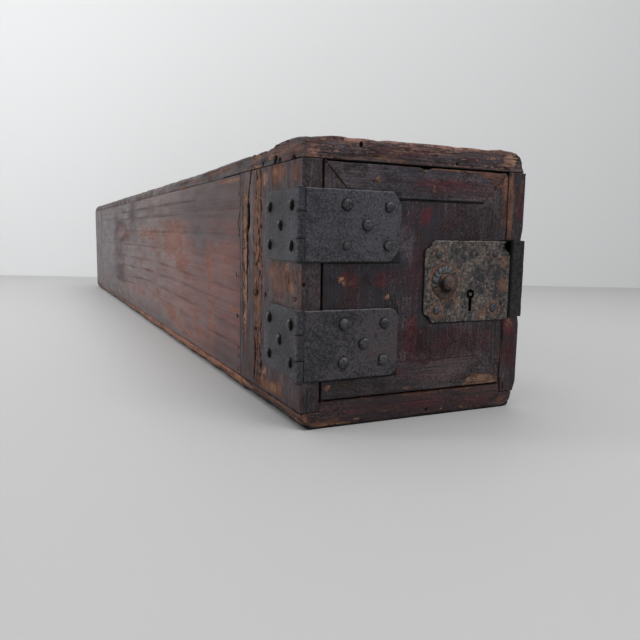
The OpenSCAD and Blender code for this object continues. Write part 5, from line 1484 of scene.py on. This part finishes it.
def flower_washer():
    """A dome whose rim is pressed into flutes."""
    (cu, cv), R, H = PULL, 16.6, 4.7
    rings = np.r_[np.linspace(3.0, 8.6, 8), np.linspace(9.2, R, 15)]
    n, m = 240, len(rings)
    rr, aa = np.meshgrid(rings, np.linspace(0, 2 * math.pi, n, endpoint=False), indexing="ij")
    du, dv = rr * np.cos(aa), rr * np.sin(aa)
    flute = smooth(rr, 10.4, 14.0)
    petal = 18 * aa + 1.6 * np.sin(3 * aa + 1) + 1.1 * np.sin(7 * aa) + 0.35 * (rr - 12)
    crisp = 0.35 + 0.65 * smooth(np.cos(aa - math.radians(140)), -0.6, 0.5)
    ripple = (1 - 2 * np.abs(np.cos(petal / 2)) ** 7) * crisp          # wide petals, narrow furrows
    q = np.c_[du.ravel(), dv.ravel(), np.zeros(rr.size)]
    lump = fbm(q, (3, 3, 9), 320, 3).reshape(rr.shape)
    patchy = np.clip(0.75 + 0.9 * fbm(q, (5, 5, 9), 325, 3), 0, 1.1).reshape(rr.shape)
    edge_r = rr + flute * 0.5 * ripple * smooth(rr, 14, R)
    dome = H * (1 - (rr / (R + 1.2)) ** 2) + 0.4 * lump
    groove = -0.5 * np.exp(-((rr - 9.3) / 0.7) ** 2)
    bead = 0.5 * np.exp(-((rr - 13.0) / 2.4) ** 2)
    w = np.maximum(dome + groove + bead + flute * 0.55 * ripple, 0.45)
    w[-1] = 0.5 + 0.25 * (ripple[-1] + 1)
    top = np.c_[(cu + edge_r * np.cos(aa)).ravel(), (cv + edge_r * np.sin(aa)).ravel(), (w + 1.8).ravel()]
    low = top.copy()
    low[:, 2] = np.maximum(top[:, 2] - 1.1, 1.85)
    low[(m - 1) * n:, 2] = 1.82
    pts = to_front(np.concatenate([top, low]))
    under, rim = m * n, (m - 1) * n
    faces = []
    pairs = [(j, (j + 1) % n) for j in range(n)]
    for i in range(0, rim, n):
        for j, k in pairs:
            faces.append((i + j, i + n + j, i + n + k, i + k))
            faces.append((under + i + k, under + i + n + k, under + i + n + j, under + i + j))
    for j, k in pairs:
        faces.append((rim + j, under + rim + j, under + rim + k, rim + k))
        faces.append((k, under + k, under + j, j))
    # Painted light from the upper left: highlights there, painted shade round the stem, in the furrows and the
    # groove, and darker rust and painted shade on the lower right.
    lit_upper_left = smooth(np.cos(aa - math.radians(125)), -0.1, 0.7)
    stem_shadow = np.maximum(np.exp(-((du + 6.5) ** 2 + (dv + 1.5) ** 2) / 30),
                             0.8 * np.exp(-((du + 1.0) ** 2 / 60 + (dv + 8.5) ** 2 / 16)))
    furrow = np.clip(-ripple, 0, 1) * flute
    wear = 0.10 * lit_upper_left + 0.36 * np.clip(ripple, 0, 1) * flute * lit_upper_left * patchy * smooth(rr, 13.0, 15.0)
    dark = 0.85 * furrow * (0.35 + 0.65 * lit_upper_left) + 0.95 * stem_shadow
    dark = dark + 0.4 * np.exp(-((rr - 9.3) / 0.6) ** 2)
    red = 0.9 * (1 - smooth(rr, 7, 11.5)) + 0.35 * (1 - lit_upper_left) + 0.4 * (1 - patchy)
    rusted = 0.75 * (1 - smooth(rr, 5, 10)) + 0.45 * (1 - lit_upper_left)
    cool_highlight = 0.85 * patchy * lit_upper_left * smooth(rr, 10.2, 12.0)
    marks = {"wear": wear, "dark": dark, "red": red, "bare": rusted, "dust_and_sheen": cool_highlight}
    heap = Heap()
    heap.add(pts, faces, {k: np.r_[v.ravel(), v.ravel() * (k == "red")] for k, v in marks.items()})
    heap.finish("flower_washer", "fluted", "rusty_iron", "washer")


def pull_stud():
    """A button on a stem through the door, clenched behind it."""
    heap = Heap()
    zs = [-21.0, -10, 0, 4.6, 5.6, 6.2, 6.7, 7.3, 8.3, 9.6, 10.8, 11.6, 12.0, 12.1]
    rs = [2.7, 2.7, 2.7, 3.0, 3.6, 5.4, 6.5, 7.0, 7.2, 6.9, 5.9, 4.2, 2.2, 0.7]
    pts, faces = tube(zs, rs, 28)
    head = pts[:, 2] > 5
    pts[head] += 0.28 * np.c_[noise(pts[head], 4, 5), noise(pts[head], 4, 6), 0.6 * noise(pts[head], 4, 7)]
    pts[:, :2] += np.array(PULL)
    # Painted light from the upper left: a painted highlight on the button's lit top through the wear and dust
    # marks, painted shade under the button and on its side away from the light, and the stem and lower button
    # dark brown, more on the left, as rust and painted shade through the bare mark.
    up = smooth(pts[:, 2], 8.6, 11.0)
    right_side = smooth(pts[:, 0], PULL[0], 35)
    lit = smooth(pts[:, 1] - 0.6 * pts[:, 0], 118, 129)       # towards the upper left
    dark = np.maximum(0.85 * (pts[:, 2] < 7), 0.3 * (1 - lit) * (pts[:, 2] < 11))
    upper = up * lit
    heap.add(to_front(pts), faces, {"wear": 0.26 * upper, "dust_and_sheen": 0.40 * upper, "red": 0.80 - 0.34 * upper,
                                    "bare": 0.75 * (1 - up) * (1 - 0.5 * right_side), "dark": dark})
    # legs: two tapering strips bent outwards over the door's back
    for sign in (-1, 1):
        path = [(0.0, -19.5), (0.6, -21.2), (2.4, -22.0), (6, -22.1), (11, -22.05), (14.6, -21.9)]
        width = [2.0, 2.2, 2.3, 2.1, 1.7, 0.9]
        ring, k = [], len(path)
        for (v, w), wd in zip(path, width):
            for du, dw in ((-wd, 1.0), (wd, 1.0), (wd, -1.05), (-wd, -1.05)):
                slope = 0.3 if v < 1 else 0
                ring.append((PULL[0] + du, PULL[1] + sign * (v + slope * dw), w + dw * (0.9 if v > 1 else 0.6)))
        pts, faces = np.array(ring), polar_faces(k, 4) + [(3, 2, 1, 0), tuple(range(4 * (k - 1), 4 * k))]
        heap.add(to_front(pts), faces, {"wear": np.full(len(pts), 0.3), "red": np.full(len(pts), 0.5)})
    heap.finish("pull_stud", "forged", "pull_iron", "pull")


def edge_plate():
    x0, y0, side_end, r = 118.0, -912.0, -866.0, 1.4
    outer = 137.2
    flat, bend = outer - r - x0, r * math.pi / 2

    def place(p):
        """u runs along the front, round the bend and down the side."""
        u, out = p[:, 0], p[:, 2] - 2.0
        a, b = u < flat, u > flat + bend
        t = np.clip((u - flat) / r, 0, math.pi / 2)
        x = outer - r + (r + out) * np.sin(t)
        y = y0 + r - (r + out) * np.cos(t)
        x[a], y[a] = x0 + u[a], y0 - out[a]
        x[b], y[b] = outer + np.where(out[b] < -1.99, -2.7, out[b]), y0 + r + (u[b] - flat - bend)
        return np.c_[x, y, p[:, 1]]

    end = flat + bend + side_end - (y0 + r)
    shape = trace([(0, 103.5), (end - 1, 103.5), (end, 104.5), (end, 187), (end - 1, 188), (0, 188)], 1.4)
    heap = Heap()
    # Painted shade along the plate's left edge, beside the lock plate.
    heap.add(*iron_sheet(shape, [], 2.0, place, 340, step=1.5, waver=0.4, hammer=0.30,
                         relief=lambda p: (0, {"dark": 0.9 * (1 - smooth(p[:, 0], 1.6, 4.0))})))
    heap.finish("edge_plate", "forged", "edge_iron", "edge")


lock_plate()
flower_washer()
pull_stud()
edge_plate()
nail_set("lock_plate_nails", "rusty_iron", "plate_nail",
         [
             (21.5, 172.5, 1.6, .98), (21.5, 114.5, 1.6, 1.02), (96.3, 173.8, 1.6, 1.0),
             (96.3, 114.5, 1.6, 1.06)],
         to_front, 4.7, 1.9, 360)
nail_set("edge_plate_nails", "edge_iron", "edge",
         [(y, z, 3.9, 1) for y in (-888, -877) for z in (114.5, 177)], to_right, 3.7, 1.6, 380)
rivet_u, rivet_v = (c + 14.7 * math.sqrt(0.5) for c in PULL)
nail_set("washer_rivet", "rusty_iron", "pull",
         [(rivet_u, rivet_v, 3.0, 1)], to_front, 2.3, 1.5, 390, 8.0, 1.05)

# ---- floor, backdrop, lights, camera ------------------------------------------


def stage_sheet(name, corners, material):
    me = bpy.data.meshes.new(name)
    me.from_pydata(corners, [], [(0, 1, 2, 3)])
    me.materials.append(material)
    place_in_scene(name, me)


def wall_material():
    """Pale from the front; from behind it lets the view through, so the chest can be seen from every side."""
    t = Tree("wall_pale")
    t.shade((0.655, 0.66, 0.665), 0.9)
    clear = t.nt.nodes.new("ShaderNodeBsdfTransparent")
    mixer = t.nt.nodes.new("ShaderNodeMixShader")
    back = t.nt.nodes.new("ShaderNodeNewGeometry").outputs["Backfacing"]
    t.nt.links.new(back, mixer.inputs[0])
    t.nt.links.new(t.bsdf.outputs[0], mixer.inputs[1])
    t.nt.links.new(clear.outputs[0], mixer.inputs[2])
    t.nt.links.new(mixer.outputs[0], t.out.inputs["Surface"])
    return t.mat


floor_material = Tree("floor_pale").shade((0.448, 0.448, 0.450), 0.60)
stage_sheet("floor", [(-12, -9, 0), (12, -9, 0), (12, 9, 0), (-12, 9, 0)], floor_material)
# the backdrop passes through these two points of the floor
WALL_A, WALL_B = np.array((-0.4606, 1.6226)), np.array((1.9197, 0.3372))
run = (WALL_B - WALL_A) / np.linalg.norm(WALL_B - WALL_A)
w0, w1 = WALL_A - run * 6, WALL_B + run * 6
stage_sheet("backdrop", [(*w0, 0), (*w1, 0), (*w1, 4), (*w0, 4)], wall_material())

world = bpy.data.worlds.new("studio")
bpy.context.scene.world = world
world.use_nodes = True
bg = world.node_tree.nodes["Background"]
bg.inputs["Color"].default_value = (1, 1, 1, 1)
bg.inputs["Strength"].default_value = 0.40


def lamp(name, place, aim, size, power):
    """A square lamp that stands at place and points at aim, in metres."""
    data = bpy.data.lights.new(name, "AREA")
    data.shape = "RECTANGLE"
    data.size = data.size_y = size
    data.energy = power
    ob = place_in_scene(name, data)
    ob.location = place
    d = np.array(aim, float) - np.array(place, float)
    yaw, pitch = math.atan2(d[0], d[1]), math.atan2(d[2], math.hypot(d[0], d[1]))
    ob.rotation_euler = (math.pi / 2 + pitch, 0, -yaw)


lamp("key", (0.6, -2.5, 2.3), (0, -0.8, 0.1), 1.4, 33)
lamp("overhead", (-0.1, -0.5, 2.6), (-0.1, -0.5, 0), 2.4, 38)
lamp("left_wall", (-1.9, 0.1, 1.5), (-0.7, 1.75, 0.75), 1.0, 30)
lamp("left_fill", (-1.7, -0.4, 1.0), (-0.3, -0.1, 0.0), 1.2, 4)

cam_data = bpy.data.cameras.new("camera")
cam = place_in_scene("camera", cam_data)
right, down, ahead = (0.90597, -0.42303, 0.01619), (-0.04083, -0.12537, -0.99127), (0.42136, 0.89740, -0.13086)
cam.matrix_world = Matrix([[right[i], -down[i], -ahead[i], (-0.37199, -1.46154, 0.18952)[i]] for i in range(3)]
                          + [[0, 0, 0, 1]])
cam_data.lens = 35.73
cam_data.sensor_width = 36
cam_data.clip_start = 0.02
cam_data.clip_end = 60
bpy.context.scene.camera = cam
bpy.context.scene.view_settings.view_transform = "Standard"
